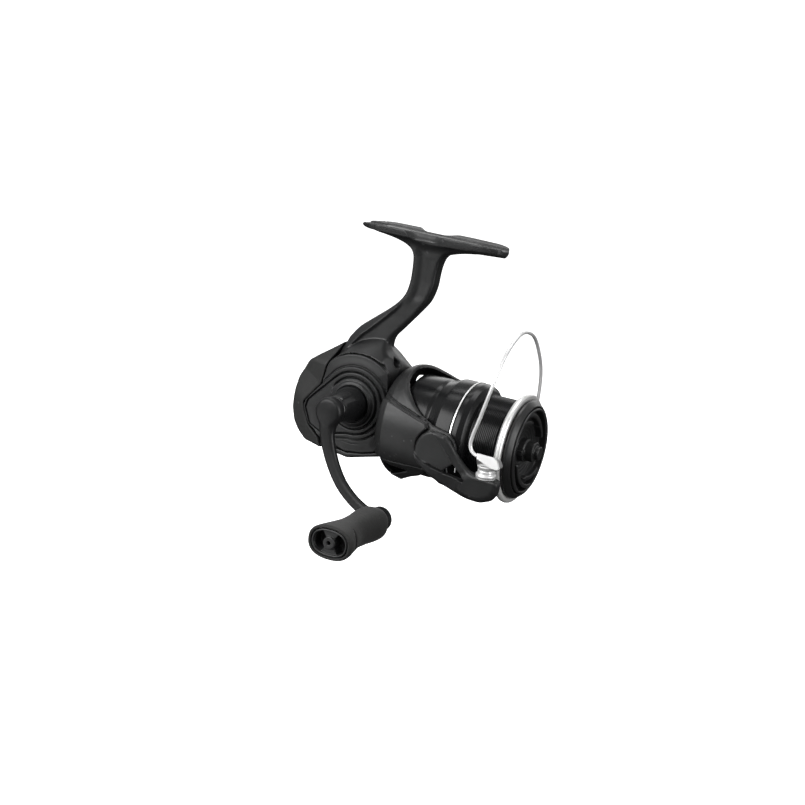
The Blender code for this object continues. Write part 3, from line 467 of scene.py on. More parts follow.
BLACK = (0.0128, 0.0131, 0.0134)
# In each moulded look the sixth number sets how much paler its painted edge highlight is.
LOOKS = {
    "body": moulded("body_black", BLACK, 0.40, 0.38, 0.016, 4.0),
    "cover": moulded("tail_black", (0.0150, 0.0153, 0.0150), 0.50, 0.34, 0.030, 3.0),
    "satin": moulded("satin_black", (0.0120, 0.0123, 0.0125), 0.36, 0.46, 0.012, 5.0),
    "gloss": moulded("gloss_black", (0.0075, 0.0076, 0.0080), 0.17, 0.60, 0.002, 1.4, spread=0.3),
    "collar": moulded("collar_black", (0.0090, 0.0092, 0.0096), 0.20, 0.75, 0.002, 2.0, spread=0.3),
    "spool": moulded("spool_black", (0.0060, 0.0062, 0.0066), 0.24, 0.24, 0.002, 2.4, spread=0.3),
    "alloy": moulded("alloy_black", (0.0088, 0.0090, 0.0094), 0.38, 0.28, 0.008, 3.0),
    "grip": moulded("grip_rubber", (0.0115, 0.0115, 0.0110), 0.60, 0.26, 0.040, 1.5, sheen=0.12),
    "seal": moulded("seal_rubber", (0.030, 0.030, 0.030), 0.70, 0.25, 0.03, 1.2),
    "silver": metal("silver_plate", (0.90, 0.90, 0.89), 0.30, 0.0004, (1.0, 0.04, 0.04), metallic=0.6),
    "wire": metal("polished_steel_wire", (0.86, 0.86, 0.86), 0.34, 0.0, (1.0, 1.0, 1.0), 200.0, 0.55),
    "wedge": metal("silver_cast", (0.46, 0.46, 0.46), 0.34, 0.0, (1.0, 0.2, 0.2), 300.0, 0.85),
    "steel": metal("bare_steel", (0.55, 0.55, 0.54), 0.26, 0.0020, (0.05, 1.0, 1.0)),
    "brass": metal("machined_brass", (0.72, 0.53, 0.26), 0.28, 0.0020, (0.05, 1.0, 1.0)),
}
NODE_LOOKS = {"steel": "steel", "brass": "brass", "seal_rubber": "seal", "satin_black": "satin",
              "silver": "silver", "polished_steel": "wire", "body_black": "body", "gloss_black": "gloss",
              "alloy_black": "alloy", "grip_rubber": "grip"}


def dress_cad_nodes():
    """Every CAD node that stays gets the detailed material of its slot."""
    for part in frame["record"]["subparts"]:
        node = frame["nodes"][part["node"]]
        look = LOOKS[NODE_LOOKS[part["material_slot"]]]
        if not node.material_slots:
            node.data.materials.append(look)
        for material_slot in node.material_slots:
            material_slot.material = look


# ---------------------------------------------------------------- body: housing, stem and foot

HOUSING = [
    (14.8, -15.5), (6.5, -17.7), (-1.0, -19.8), (-11.4, -18.4), (-17.0, -17.8), (-22.8, -17.2),
    (-26.8, -13.6), (-29.4, -9.8), (-30.7, -4.0), (-30.6, 3.2), (-29.8, 9.3), (-25.8, 17.4), (-21.2, 21.0),
    (-12.6, 27.6), (-7.5, 30.5), (-0.9, 34.0), (5.4, 35.6), (7.0, 31.4), (8.7, 27.8), (13.0, 24.4),
    (14.8, 21.5),
]
CAVITY = [
    (12.4, -14.0), (6.0, -15.5), (-1.0, -17.2), (-16.0, -15.8), (-23.4, -14.6), (-25.6, -12.8),
    (-27.2, -9.5), (-28.6, -3.5), (-28.0, 3.5), (-25.7, 12.0), (-17.0, 13.0), (-12.5, 18.2), (-8.0, 22.0),
    (6.5, 22.0), (12.4, 17.0),
]
SEAM = [
    (-12.4, 28.6), (-15.4, 18.4), (-17.0, 9.4), (-24.4, 0.0), (-23.6, -3.4), (-20.6, -9.6), (-15.4, -14.0),
    (-13.0, -20.8),
]
NEAR_Y, FAR_Y = -12.0, 13.0
COVER_R = 20.4
STEM_REAR = [
    (-18.5, 19.0), (-13.6, 27.4), (-9.9, 32.6), (-7.5, 35.5), (1.8, 43.0), (9.4, 49.2), (12.2, 53.0),
    (13.3, 58.0), (13.5, 63.0), (13.3, 69.4), (12.0, 72.2), (9.0, 74.4), (5.0, 76.0), (-3.0, 78.0),
]
STEM_FRONT = [
    (40.0, 77.0), (31.5, 74.4), (27.6, 72.4), (25.6, 69.4), (24.6, 64.5), (24.3, 58.0), (22.2, 51.4),
    (17.0, 44.2), (11.3, 37.2), (7.6, 33.0), (7.4, 27.0), (4.0, 16.0), (-10.0, 14.0),
]
# The leg's half thickness at each height
STEM_HALF = [(16.0, 9.5), (22.0, 7.0), (28.0, 5.4), (50.0, 4.3), (60.0, 3.8), (70.0, 3.8), (76.0, 4.8)]
BAND = [(20.0, 3.9), (35.0, 3.7), (45.0, 2.0), (50.0, 1.0)]  # height, width of the leg's rear band
FACET_AT, FACET_NORMAL = (8.1, -7.0, 34.1), (0.845, -0.44, 0.305)
CREST_LOW, CREST_RISE = 21.8, 0.125  # the crease over the cover: its radius, and its rise per degree
NEAR_CLIMB, FAR_CLIMB = 8.7, 9.7  # how far in the two sides slope before they meet the stem
SIDE_SLOPE = 0.72  # shortens a side's distance to what it is square to the slope
NOSE_R, NOSE_X = 12.2, (8.0, 22.6)  # the round nose that the rotor turns about
NOSE_BORES = ((6.3, 10.0, 30.0, 0.2), (11.0, 18.1, 40.0, 0.3))  # radius, both ends, edge rounding
FINGER_HOLE_R, FINGER_HOLE_AT = 2.0, (-3.8, 23.6)  # radius, place in Y and Z
FINGER_HOLE_END = 7.0  # how far back it goes
CAP_RING_R = 12.4
COVER_SEAT_DEPTH = 2.2
COVER_WALL = 2.2
SLIDER_ROOM = 8.9  # half the width that the slider inside needs
TAIL_TAPER, TAIL_TOP_TAPER, TAIL_TOP = 0.32, 8.0, (17.5, 27.5)
RIM_DEPTH = ([-33, -20, -8, 8, 30], [3.0, 2.7, 2.9, 3.8, 2.9])  # along the foot, and the rims' thickness
KEEL_DEPTH = ([-33, -19, -10, 10, 15, 21, 33], [2.0, 3.9, 5.6, 6.2, 5.5, 5.1, 4.5])
FOOT_HALF_PLAN = [
    (-33.0, 0.0), (-32.3, 2.4), (-30.3, 4.4), (-27.0, 6.3), (-23.0, 7.4), (-8.2, 7.9), (-4.0, 6.6),
    (0.0, 6.0), (4.0, 6.4), (9.0, 7.9), (25.0, 7.3), (29.0, 6.6), (31.5, 5.2), (32.7, 3.0), (33.0, 0.0),
]

HOUSING_PLAN = Plan(fillet(HOUSING, 1.2))
CAVITY_PLAN = Plan(CAVITY)
BEHIND_SEAM = Plan([(SEAM[0][0], 45.0), *fillet(SEAM, 1.0, closed=False), (SEAM[-1][0], -40.0),
                    (-60.0, -40.0), (-60.0, 45.0)])
STEM_PLAN = Plan(fillet([*STEM_REAR, *STEM_FRONT], 3.0))
BEHIND_STEM = Plan([*fillet(STEM_REAR, 3.0, closed=False), (-40.0, 90.0), (-40.0, 20.0)])
FOOT_PLAN = Plan(fillet([*FOOT_HALF_PLAN, *[(x, -y) for x, y in FOOT_HALF_PLAN[-2:0:-1]]], 0.8))


def side_outline(grow=0.0):
    """The side cover's edge: a round top about the handle axis and a pointed rear."""
    rear = [
        (-15.0 - grow, 17.4), (-16.5 - grow, 9.6), (-23.7 - grow, 0.1), (-22.9 - grow, -3.3),
        (-19.9 - grow, -9.1), (-14.9, -13.2 - grow),
    ]
    front = [(6.0, -15.6 - grow), (12.0, -13.8 - grow), (14.4 + grow, -9.0), (14.4 + grow, 15.0)]
    return [*arc(DRIVE, COVER_R + grow, 50, 133, 16), *rear, (-2.0, -16.6 - grow), *front]


def teardrop(radius, point):
    """A circle about the handle axis drawn out to a blunt point at the rear."""
    start = arc(DRIVE, radius, -95, 140, 40)
    return [*start, (-point + 0.8, 1.8), (-point, -1.6), (-point + 3.0, -8.4),
            (-13.6, -10.6 - (radius - 13) * 0.8), (-8.0, -9.8 - (radius - 13) * 0.8)]


COVER_PLAN = Plan(fillet(side_outline(), 0.8))
COVER_SEAT_PLAN = Plan(fillet(side_outline(SEAM_GAP), 0.8))
PLATE_PLAN = Plan(fillet(teardrop(15.4, 23.6), 0.8))
GROOVE_PLAN = Plan(fillet(teardrop(13.3, 22.3), 0.8))


def housing_field(x, y, z):
    """The housing's whole outside: a wide drum whose top slopes in to the stem on both sides."""
    r = np.hypot(x, z - DRIVE_Z)
    angle = np.degrees(np.arctan2(z - DRIVE_Z, x))
    crest = CREST_LOW + CREST_RISE * np.clip(130 - angle, 0, 60)
    start = COVER_R + 0.2
    climb = np.clip((r - start) / (crest - start), 0, 1) * ramp(angle, 10, 40)
    climb = climb * (1 - ramp(angle, 133, 142))
    near = (-y + NEAR_Y + NEAR_CLIMB * climb) * SIDE_SLOPE
    far = (y - FAR_Y + FAR_CLIMB * climb) * SIDE_SLOPE
    field = common(HOUSING_PLAN(x, z), near, 1.6)
    field = common(field, far, 2.4)
    near_facet = ((x - FACET_AT[0]) * FACET_NORMAL[0] + (y - FACET_AT[1]) * FACET_NORMAL[1]
                  + (z - FACET_AT[2]) * FACET_NORMAL[2])
    field = common(field, near_facet, 0.35)
    far_facet = (x + np.where(y > 0, 0.55, 2.0) * y + 1.25 * (z - 24.0) - 14.2) * 0.5
    return common(field, far_facet, 0.9)


def stem_field(x, y, z):
    """The leg: a rounded rear band, a hollow channel beside it and a plain front part."""
    behind = BEHIND_STEM(x, z)
    half = np.interp(z, *zip(*STEM_HALF))
    width = np.interp(z, *zip(*BAND))
    band = 1 - 0.64 * np.clip(1 - behind / width, 0, 1) * (1 - ramp(z, 44.0, 51.0))
    upper = ramp(z, 46.0, 54.0) * (1 - ramp(z, 71.0, 76.0))
    lower = 1.5 * ramp(behind, width - 0.2, width + 1.1) * (1 - ramp(z, 43.0, 52.0))
    channel = lower + 0.75 * upper * bump(behind, 4.9, 1.9) + 0.3 * upper * ramp(behind, 4.9, 7.0)
    low_end = 1 - 0.6 * (1 - ramp(z, 22.0, 30.0)) * ramp(behind, 10.0, 14.0)
    return common(STEM_PLAN(x, z), (abs(y) - (half * band - channel * low_end)) * 0.8, 1.5)


def foot_field(x, y, z):
    """The plate that the rod's seat clamps: two raised rims beside a trough, and a keel underneath."""
    u = x - FOOT_X
    outline = FOOT_PLAN(u, y)
    rim = np.interp(u, *RIM_DEPTH)
    keel = np.interp(u, *KEEL_DEPTH)
    under = (FOOT_TOP - rim - (keel - rim) * np.clip(1 - abs(y) / 7.0, 0, 1) - z) * 0.85
    gutter = 1.25 * np.clip(1 - (y / 7.6) ** 2, 0, 1) + 0.7 * ramp(3.4 - abs(y), -0.1, 0.3)
    tongue = 0.8 * ramp(-u, 28.6, 29.4) + 0.8 * ramp(u, 29.8, 31.0)
    top = z - FOOT_TOP + np.maximum(gutter, tongue) * 0.8
    chamfer = (z - FOOT_TOP) * 0.74 + (abs(y) - 2.6) * 0.67 - 4.0 * ramp(abs(u + 1.0), 3.5, 10.5)
    return common(common(common(outline, under, 0.9), top, 0.35), chamfer, 0.3)


def body_field(p):
    x, y, z = p.T
    field = union(housing_field(x, y, z), stem_field(x, y, z), 0.3)
    field = union(field, cylinder(y, z, x, NOSE_R, *NOSE_X, 0.8), 1.0)
    foot = union(stem_field(x, y, z), foot_field(x, y, z), 3.4)
    foot = np.maximum(foot, z - FOOT_TOP)
    field = np.where(z > 60, foot, field)
    ring = abs(np.hypot(x, z - DRIVE_Z) - CAP_RING_R) - 0.3
    field = carve(field, np.maximum(ring, FAR_Y - 0.45 - y), 0.2)
    cavity = common(CAVITY_PLAN(x, z), slab(y, -20.0, FAR_Y - 2.0), 0.5)
    field = carve(field, cavity)
    seat = common(COVER_SEAT_PLAN(x, z), y - (NEAR_Y + COVER_SEAT_DEPTH), 0.3)
    field = carve(field, seat, 0.45)
    field = carve(field, BEHIND_SEAM(x, z) - SEAM_GAP, 0.5)
    field = carve(field, np.hypot(x, z - DRIVE_Z) + 40 * (y < 5) - 7.4, 0.2)
    for radius, low, high, soft in NOSE_BORES:
        field = carve(field, cylinder(y, z, x, radius, low, high), soft)
    hole = np.hypot(y - FINGER_HOLE_AT[0], z - FINGER_HOLE_AT[1]) - FINGER_HOLE_R
    field = carve(field, np.maximum(hole, FINGER_HOLE_END - x), 0.3)
    for name in ("body_screw_top", "body_screw_bottom"):
        field = carve(field, screw_hole(name, x, y, z), 0.2)
    return field


def screw_hole(name, x, y, z):
    """A counterbored hole that clears one of the CAD model's far-side screws."""
    low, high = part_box(name)
    at = ((low + high) / 2 - SHAFT_ORIGIN) / MM
    seat = np.maximum(np.hypot(x - at.x, z - at.z) - 2.0, 11.3 - y)
    shank = np.maximum(np.hypot(x - at.x, z - at.z) - 1.15, 5.0 - y)
    return np.minimum(seat, shank)


def rear_cover_field(p):
    """The guard behind the seam, with broad facets on its sides."""
    x, y, z = p.T
    seam = BEHIND_SEAM(x, z)
    taper = -TAIL_TAPER * np.maximum(-seam - 0.8, 0) - TAIL_TOP_TAPER * ramp(z, *TAIL_TOP)
    field = common(HOUSING_PLAN(x, z), slab(y, NEAR_Y - 0.3 - taper, FAR_Y + taper) * 0.7, 1.2)
    field = common(field, seam, 0.5)
    room = slab(y, np.minimum(NEAR_Y + COVER_WALL - taper, -SLIDER_ROOM),
                np.maximum(FAR_Y - COVER_WALL + taper, SLIDER_ROOM))
    hollow = np.maximum(CAVITY_PLAN(x, z), room)
    field = carve(field, hollow, 0.5)
    return carve(field, screw_hole("rear_cover_screw", x, y, z), 0.2)


BAND_HEIGHT = 12.7
BOSS_STEPS = ((10.9, 10.3, 0.5), (9.9, 9.0, 0.9), (8.9, 8.3, 0.35))  # outer and inner radius, rise
BOSS_GROOVE_R = 11.0
SCRIBED_R = 17.6
SOCKET_Y, SOCKET_R = -14.95, (8.0, 6.3)  # the handle's hole is wider on the near side of SOCKET_Y


def side_cover_field(p):
    """The crank-side cover: a domed band, a raised teardrop plate with two grooves, and a stepped boss."""
    x, y, z = p.T
    r = np.hypot(x, z - DRIVE_Z)
    outline = COVER_PLAN(x, z)
    plate = PLATE_PLAN(x, z)
    groove = GROOVE_PLAN(x, z)
    height = BAND_HEIGHT + 0.55 * ramp(-outline, 0.0, 4.5) + 0.85 * ramp(-plate, -0.25, 0.35)
    height = height - 1.2 * bump(groove, 0.0, 0.30) + 0.3 * ramp(-groove, 0.0, 0.6)
    height = height - 0.5 * bump(plate, 0.4, 0.3)
    height = height - 1.1 * bump(r, BOSS_GROOVE_R, 0.32) * (1 - ramp(-x - z * 0.2, 6.0, 8.0))
    for outer, inner, rise in BOSS_STEPS:
        height = height + rise * ramp(-r, -outer, -inner)
    line = 0.25 * bump(r, SCRIBED_R, 0.16) * ramp(-z, 8.0, 9.0)
    line = line * ramp(x, -5.0, -3.0) * ramp(-x, -6.0, -4.0)
    field = common(outline, (-y - height + line) * 0.8, 0.5)
    field = common(field, y - (NEAR_Y + 1.9), 0.3)
    return carve(field, r - np.where(y < SOCKET_Y, *SOCKET_R), 0.25)


def make_body():
    skin("rear_cover", "frame", rear_cover_field, ((-33, -13, -20), (-10, 14, 31)), 0.42,
         "cover", 1.0)
    skin("body_frame", "frame", body_field, ((-27, -13.5, -21.5), (54.5, 14, 81)), 0.46,
         "body", 1.0)
    skin("side_cover", "frame", side_cover_field, ((-25.5, -18, -18.5), (16, -9, 27)), 0.24,
         "body", 1.2)
    cap_profile = [
        (11.5, 0), (11.5, 7.0), (13.3, 7.0), (13.3, 10.2), (14.2, 10.0), (15.2, 9.0), (15.2, 8.2),
        (15.9, 7.9), (16.6, 6.9), (16.6, 4.4), (15.8, 3.9), (15.8, 1.6), (16.3, 1.2), (16.3, 0),
    ]
    lathe("left_cap", "frame", cap_profile, "satin", "Y", DRIVE, 96, 0.25)


# ---------------------------------------------------------------- handle

ARM_ROWS = [  # X, Y, Z of the arm's middle, its half width and half thickness
    (0.0, -33.6, 5.0, 4.6, 1.8), (0.1, -34.2, -0.5, 3.9, 2.1), (0.6, -34.7, -5.0, 3.2, 2.0),
    (2.9, -35.3, -11.0, 2.9, 1.9), (6.3, -36.1, -17.0, 2.7, 1.8), (11.0, -36.9, -22.9, 2.6, 1.7),
    (17.0, -37.6, -27.6, 2.5, 1.7), (23.4, -38.1, -30.8, 2.5, 1.7), (29.5, -38.4, -32.4, 2.8, 1.7),
]
KNOB_ROWS = [  # share of the length from the arm, half width along X, half height along Z
    (0.0, 4.9, 4.8), (0.03, 6.2, 5.9), (0.10, 7.2, 6.6), (0.22, 7.3, 6.6), (0.40, 6.4, 6.3),
    (0.58, 6.3, 6.2), (0.76, 7.8, 6.5), (0.90, 9.2, 6.75), (0.97, 9.5, 6.85), (1.0, 9.2, 6.6),
]
KNOB_Y = (-41.2, -80.6)
ARM_BAR = Bar(ARM_ROWS)
HUB_R, HUB_Y, HUB_DOME = 5.9, (-37.0, -31.4), 0.02
ARM_END_R, ARM_END_Y = 5.1, (-40.4, -36.3)
GRIP_POWER = 2.35  # how square the grip's ovals are
KNOB_RECESS, KNOB_RECESS_Y = (8.15, 5.75, 2.4), -72.0  # half width, half height, squareness; where it ends
KNOB_BORE = (2.2, 3.6)  # the spindle's clearance, then the bearings' seats
CAP_OVAL, CAP_DISH, CAP_WINDOW = (7.8, 5.4, 2.4), (6.9, 4.55, 2.4), (6.5, 4.2, 2.8)
CAP_Y, DISH_Y, WINDOW_Y = (-80.2, -73.0), -79.3, -74.4
CAP_POST_R, CAP_POST_Y = 2.5, (-80.4, -74.0)
CAP_SCREW_R, CAP_SCREW_Y = 0.75, -77.0


def handle_arm_field(p):
    x, y, z = p.T
    r = np.hypot(x, z - DRIVE_Z)
    hub = common(r - HUB_R, slab(y, HUB_Y[0] + HUB_DOME * r * r, HUB_Y[1]), 1.6)
    field = union(hub, ARM_BAR(p), 1.3)
    end = cylinder(x - KNOB_X, z - KNOB_Z, y, ARM_END_R, *ARM_END_Y, 0.9)
    return union(field, end, 1.0)


def knob_size(y):
    share = (y - KNOB_Y[0]) / (KNOB_Y[1] - KNOB_Y[0])
    path = smooth_path(KNOB_ROWS, 8)
    return np.interp(share, path[:, 0], path[:, 1]), np.interp(share, path[:, 0], path[:, 2])


def oval_field(u, v, wide, high, power):
    ring = (abs(u / wide) ** power + abs(v / high) ** power + 1e-9) ** (1 / power)
    return (ring - 1) * np.minimum(wide, high)


def knob_field(p):
    x, y, z = p.T
    u, v = x - KNOB_X, z - KNOB_Z
    wide, high = knob_size(y)
    field = common(oval_field(u, v, wide, high, GRIP_POWER), slab(y, KNOB_Y[1], KNOB_Y[0]), 1.3)
    recess = np.maximum(oval_field(u, v, *KNOB_RECESS), y - KNOB_RECESS_Y)
    field = carve(field, recess, 0.5)
    bore = np.hypot(u, v) - np.where((y < -44.2) & (y > -66.0), *KNOB_BORE)
    return carve(field, bore, 0.2)


def knob_cap_field(p):
    """The oval end plate: a rim, two deep windows, and a post with a screw hole between them."""
    x, y, z = p.T
    u, v = x - KNOB_X, z - KNOB_Z
    field = common(oval_field(u, v, *CAP_OVAL), slab(y, *CAP_Y), 0.6)
    dish = np.maximum(oval_field(u, v, *CAP_DISH), y - DISH_Y)
    field = carve(field, dish, 0.4)
    web = abs(u) - (0.9 + 0.6 * abs(v))
    window = common(oval_field(u, v, *CAP_WINDOW), np.maximum(-web, y - WINDOW_Y), 0.4)
    field = carve(field, window, 0.35)
    field = union(field, cylinder(u, v, y, CAP_POST_R, *CAP_POST_Y, 0.35), 0.3)
    return carve(field, np.maximum(np.hypot(u, v) - CAP_SCREW_R, y - CAP_SCREW_Y), 0.3)


def make_handle():
    collar_profile = [
        (-16.0, 2.9), (-16.0, 7.5), (-17.2, 7.6), (-19.0, 7.25), (-22.5, 6.75), (-26.0, 6.1), (-29.2, 5.6),
        (-30.0, 5.3), (-30.9, 5.3), (-30.9, 2.9),
    ]
    lathe("handle_collar", "handle", collar_profile, "collar", "Y", DRIVE, 128, 0.5)
    skin("handle_arm", "handle", handle_arm_field, ((-8, -42, -39.5), (37.5, -30, 12)),
         0.32, "alloy", 1.0)
    box = ((KNOB_X - 11, -82.5, KNOB_Z - 8.5), (KNOB_X + 11, -40, KNOB_Z + 8.5))
    skin("handle_knob", "knob", knob_field, box, 0.40, "grip", 1.0)
    box = ((KNOB_X - 9, -82, KNOB_Z - 6), (KNOB_X + 9, -72, KNOB_Z + 6))
    skin("knob_end_cap", "knob", knob_cap_field, box, 0.2, "satin", 1.0)


# ---------------------------------------------------------------- rotor

ROTOR_SECTION = Plan(fillet([
    (15.6, 12.9), (15.6, 20.3), (17.4, 22.4), (20.0, 24.1), (24.0, 24.9), (60.0, 25.1), (60.0, 23.5),
    (24.0, 23.2), (19.2, 22.0), (17.6, 20.4), (17.6, 15.2), (27.0, 15.2), (27.0, 3.3), (24.1, 3.3),
    (24.1, 12.9),
], 0.5))
RIM_EDGE = [
    (22.0, 34.0), (22.2, 25.0), (22.8, 22.6), (24.2, 20.6), (27.3, 17.6), (31.0, 14.4), (35.5, 11.4),
    (41.4, 8.9),
]
LOW_EDGE = [(42.0, -9.4), (36.5, -15.0), (31.5, -17.4), (27.0, -20.4), (23.0, -23.6), (22.2, -26.0),
            (22.0, -34.0)]
ROTOR_SIDE = Plan(fillet([
    (10.0, 34.0), *RIM_EDGE, *arc((PIVOT_X, 0.0), 8.0, 78, -78, 20), *LOW_EDGE, (10.0, -34.0),
], 0.8))
PANEL_SECTION = Plan(fillet([
    (15.9, 22.6), (17.2, 24.4), (20.0, 25.7), (30.0, 26.3), (44.0, 26.5), (44.0, 25.5), (24.0, 25.3),
    (20.0, 24.6), (17.4, 22.9), (15.9, 21.1),
], 0.3))
PANEL_SIDE = Plan(fillet([
    (15.0, -9.6), (15.0, 12.4), (16.6, 14.0), (19.4, 14.2), (38.9, 9.3),
    *arc((PIVOT_X, 0.0), 9.8, 129, 231, 16), (38.9, -9.6), (20.5, -10.3),
], 0.5))

PIVOT_HOLE_R = 2.3
BACK_HOLE_AT = (13.2, 14.0, 13.8)  # Y, the slant's Z, Z
BACK_HOLE_R, BACK_HOLE_X = 2.5, 19.5  # radius, front end
PANEL_GROOVE = 1.0


def rotor_field(p):
    x, y, z = p.T
    r = np.hypot(y, z)
    across = np.where(y < 0, z, -z)  # the arms are the same, half a turn apart
    side = ROTOR_SIDE(x, across)
    raised = 0.35 * ramp(-side, 0.1, 0.4) * (1 - ramp(-side, 1.3, 1.8))
    raised = raised * ramp(r, 22.0, 23.0) * ramp(x, 20.0, 22.0)
    field = common(ROTOR_SECTION(x, r - raised), side, 0.35)
    edge = PANEL_GROOVE * bump(PANEL_SIDE(x, across), 0.45, 0.42) * ramp(r, 21.0, 22.0)
    field = common(field, ROTOR_SECTION(x, r + edge), 0.2)
    low = (across + 12.8 + (x - 19.5) * 0.10) * 0.99
    high = (-19.8 + (x - 21.0) * 0.55 - across) * 0.88
    window = common(common(low, high, 0.6), 19.3 - x, 0.6)
    field = carve(field, np.maximum(window, np.where(y < 0, 1.0 + y, 9.0)), 0.3)
    across_y, slant_z, up_z = BACK_HOLE_AT
    hole = np.hypot((y - across_y) * 0.62 + (z - slant_z) * 0.3, z - up_z) - BACK_HOLE_R
    field = carve(field, np.maximum(hole, x - BACK_HOLE_X), 0.3)
    pocket = np.maximum(WINDOW_PLAN(x, across) - 0.6, 24.0 - abs(y))
    field = carve(field, np.where(y < 0, pocket, 9.0), 0.2)
    return carve(field, np.maximum(np.hypot(x - PIVOT_X, z) - PIVOT_HOLE_R, 16.0 - abs(y)), 0.2)


def panel_field(side):
    """One arm's closing panel, a shallow curved plate with bevelled edges."""
    def field(p):
        x, y, z = p.T
        shape = common(PANEL_SECTION(x, np.hypot(y, z)), PANEL_SIDE(x, -side * z), 0.45)
        return np.maximum(shape, 5.0 - side * y)
    return field


def make_rotor():
    skin("rotor", "rotor", rotor_field, ((14.8, -26.5, -26.5), (55, 26.5, 26.5)), 0.42,
         "body", 1.0)
    for node, side in (("arm_cover_roller_side", -1), ("arm_cover_far_side", 1)):
        low, high = sorted((side * 20.0, side * 27.2))
        skin(node, "rotor", panel_field(side), ((14.8, low, -15), (45, high, 16)), 0.3,
             "body", 0.6)


# ---------------------------------------------------------------- bail

LEVER_EDGE = [  # in the rotor frame's X and Z
    *arc((PIVOT_X, 0.0), 8.9, 66, 232, 20), (44.4, -9.6), (50.4, -12.3), (56.0, -14.2), (62.0, -15.6),
    (68.5, -15.6), (73.4, -13.6), (75.6, -10.0), (75.2, -5.4), (65.0, -4.9), (61.4, -3.2), (56.6, 1.2),
    (52.4, 6.4), (50.2, 8.4),
]
CREASE = [
    (42.6, 9.4), (45.4, 8.0), (48.5, 5.1), (54.7, -1.6), (60.9, -7.9), (59.9, -9.0), (53.6, -7.8),
    (46.0, -5.5), (40.6, -4.3), (37.2, -2.0), (36.5, 4.0),
]
WINDOW = [(50.4, -6.7), (51.5, -5.5), (54.9, -2.4), (61.0, -7.6), (60.7, -8.5), (57.7, -8.2), (51.1, -7.3)]
LOW_LINE = [(40.9, -4.5), (46.0, -5.1), (51.4, -6.5), (51.2, -7.3), (45.6, -6.1)]
SEAT = [
    (58.0, -13.2), (66.0, -14.0), (71.0, -12.9), (73.8, -10.0), (74.8, -6.6), (74.4, -5.2), (65.0, -5.0),
    (59.5, -6.4),
]
FAR_EDGE = [*arc((PIVOT_X, 0.0), 8.5, 60, 262, 20), (52.0, -7.6), (60.0, -3.2), (66.2, 0.6), (66.6, 4.4),
            (62.5, 5.4), (54.0, 6.2)]
LEVER_PLAN = Plan(fillet(LEVER_EDGE, 1.5))
CREASE_PLAN = Plan(fillet(CREASE, 0.8))
WINDOW_PLAN = Plan(fillet(WINDOW, 0.3))
LOW_LINE_PLAN = Plan(LOW_LINE)
SEAT_PLAN = Plan(fillet(SEAT, 2.0))
FAR_PLAN = Plan(fillet(FAR_EDGE, 1.5))
ROLLER_LOW, ROLLER_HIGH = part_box("line_roller")
ROLLER = ROTOR_FRAME.inverted() @ ((ROLLER_LOW + ROLLER_HIGH) / 2)
ROLLER_X, ROLLER_Y = ROLLER.x, ROLLER.y
WIRE_R = 0.75
LEVER_INNER, LEVER_OUTER = 26.85, 29.8  # the levers' faces, from the shaft
PIN_FACE = 28.4  # how deep the pivot pin's pocket goes
AXLE_HOLE_R = 1.65
WIRE_ROUTE = [
    (65.2, -27.4, 2.9), (63.0, -27.3, 3.3), (61.0, -27.0, 5.4), (60.9, -26.7, 9.5), (63.2, -26.1, 18.4),
    (65.6, -24.2, 29.6), (66.4, -20.6, 37.0), (66.7, -12.5, 44.6), (66.7, -0.5, 48.4), (66.9, 11.5, 44.6),
    (67.1, 20.2, 34.4), (67.1, 24.5, 24.8), (66.5, 26.1, 14.1), (65.0, 27.4, 7.0), (62.6, 28.4, 3.0),
]


def wire_gap(p, rows, radius):
    route = smooth_path(rows, 6)
    gap = np.full(len(p), np.inf)
    for at in route:
        gap = np.minimum(gap, ((p - at) ** 2).sum(1))
    return np.sqrt(gap) - radius


def lever_field(p):
    """The roller-side lever: a sunk disc facet inside a rounded band that runs on under the roller."""
    x, y, z = p.T
    edge = LEVER_PLAN(x, z)
    crease = CREASE_PLAN(x, z)
    disc = np.hypot(x - PIVOT_X, z)
    swell = 1.6 * ramp(x, 54.0, 69.0)
    sunk = ramp(-crease, -0.1, 0.4)
    height = LEVER_OUTER + swell - sunk * (0.75 - 0.02 * (x - PIVOT_X) + 0.085 * z)
    height = height - (1 - sunk) * 0.04 * (x - 50.0)
    height = height - 0.05 * np.clip(-4.0 - z, 0, 20) - 1.6 * ramp(-LOW_LINE_PLAN(x, z), -0.1, 0.3)
    field = common(edge, slab(-y, LEVER_INNER, height), 1.5)
    seat = common(SEAT_PLAN(x, z), slab(-y, 25.1, 30.4), 1.8)
    field = union(field, seat, 2.2)
    field = carve(field, WINDOW_PLAN(x, z), 0.25)
    field = carve(field, np.maximum(disc - PIVOT_HOLE_R, -PIN_FACE - y), 0.2)
    return carve(field, np.maximum(np.hypot(x - ROLLER_X, y - ROLLER_Y) - AXLE_HOLE_R,
                                   slab(z, -14.0, 5.0)), 0.2)


def far_lever_field(p):
    x, y, z = p.T
    disc = np.hypot(x - PIVOT_X, z)
    height = LEVER_OUTER - 0.25 * ramp(disc, 5.6, 6.6) - 0.3 * bump(disc, 6.1, 0.25)
    field = common(FAR_PLAN(x, z), slab(y, LEVER_INNER, height), 1.0)
    field = carve(field, np.maximum(disc - PIVOT_HOLE_R, y - PIN_FACE), 0.2)
    return carve(field, wire_gap(p, [*WIRE_ROUTE[-4:], (61.6, 28.8, 1.7)], 1.15), 0.2)


WEDGE_PLAN = Plan(fillet([
    (65.0, 5.2), (66.4, 6.0), (69.2, 6.1), (72.4, 5.3), (74.4, 3.9), (75.9, 1.1), (75.2, 0.3), (70.0, 0.4),
    (65.8, 0.5), (65.6, 3.0),
], 0.4))

RIDGE_AT, NECK_AT, NECK_R = (67.7, 2.4), (65.3, -27.5, 3.0), 1.3
CONE_NEAR, CONE_FAR, CONE_TOP = 31.3, 25.0, 5.9


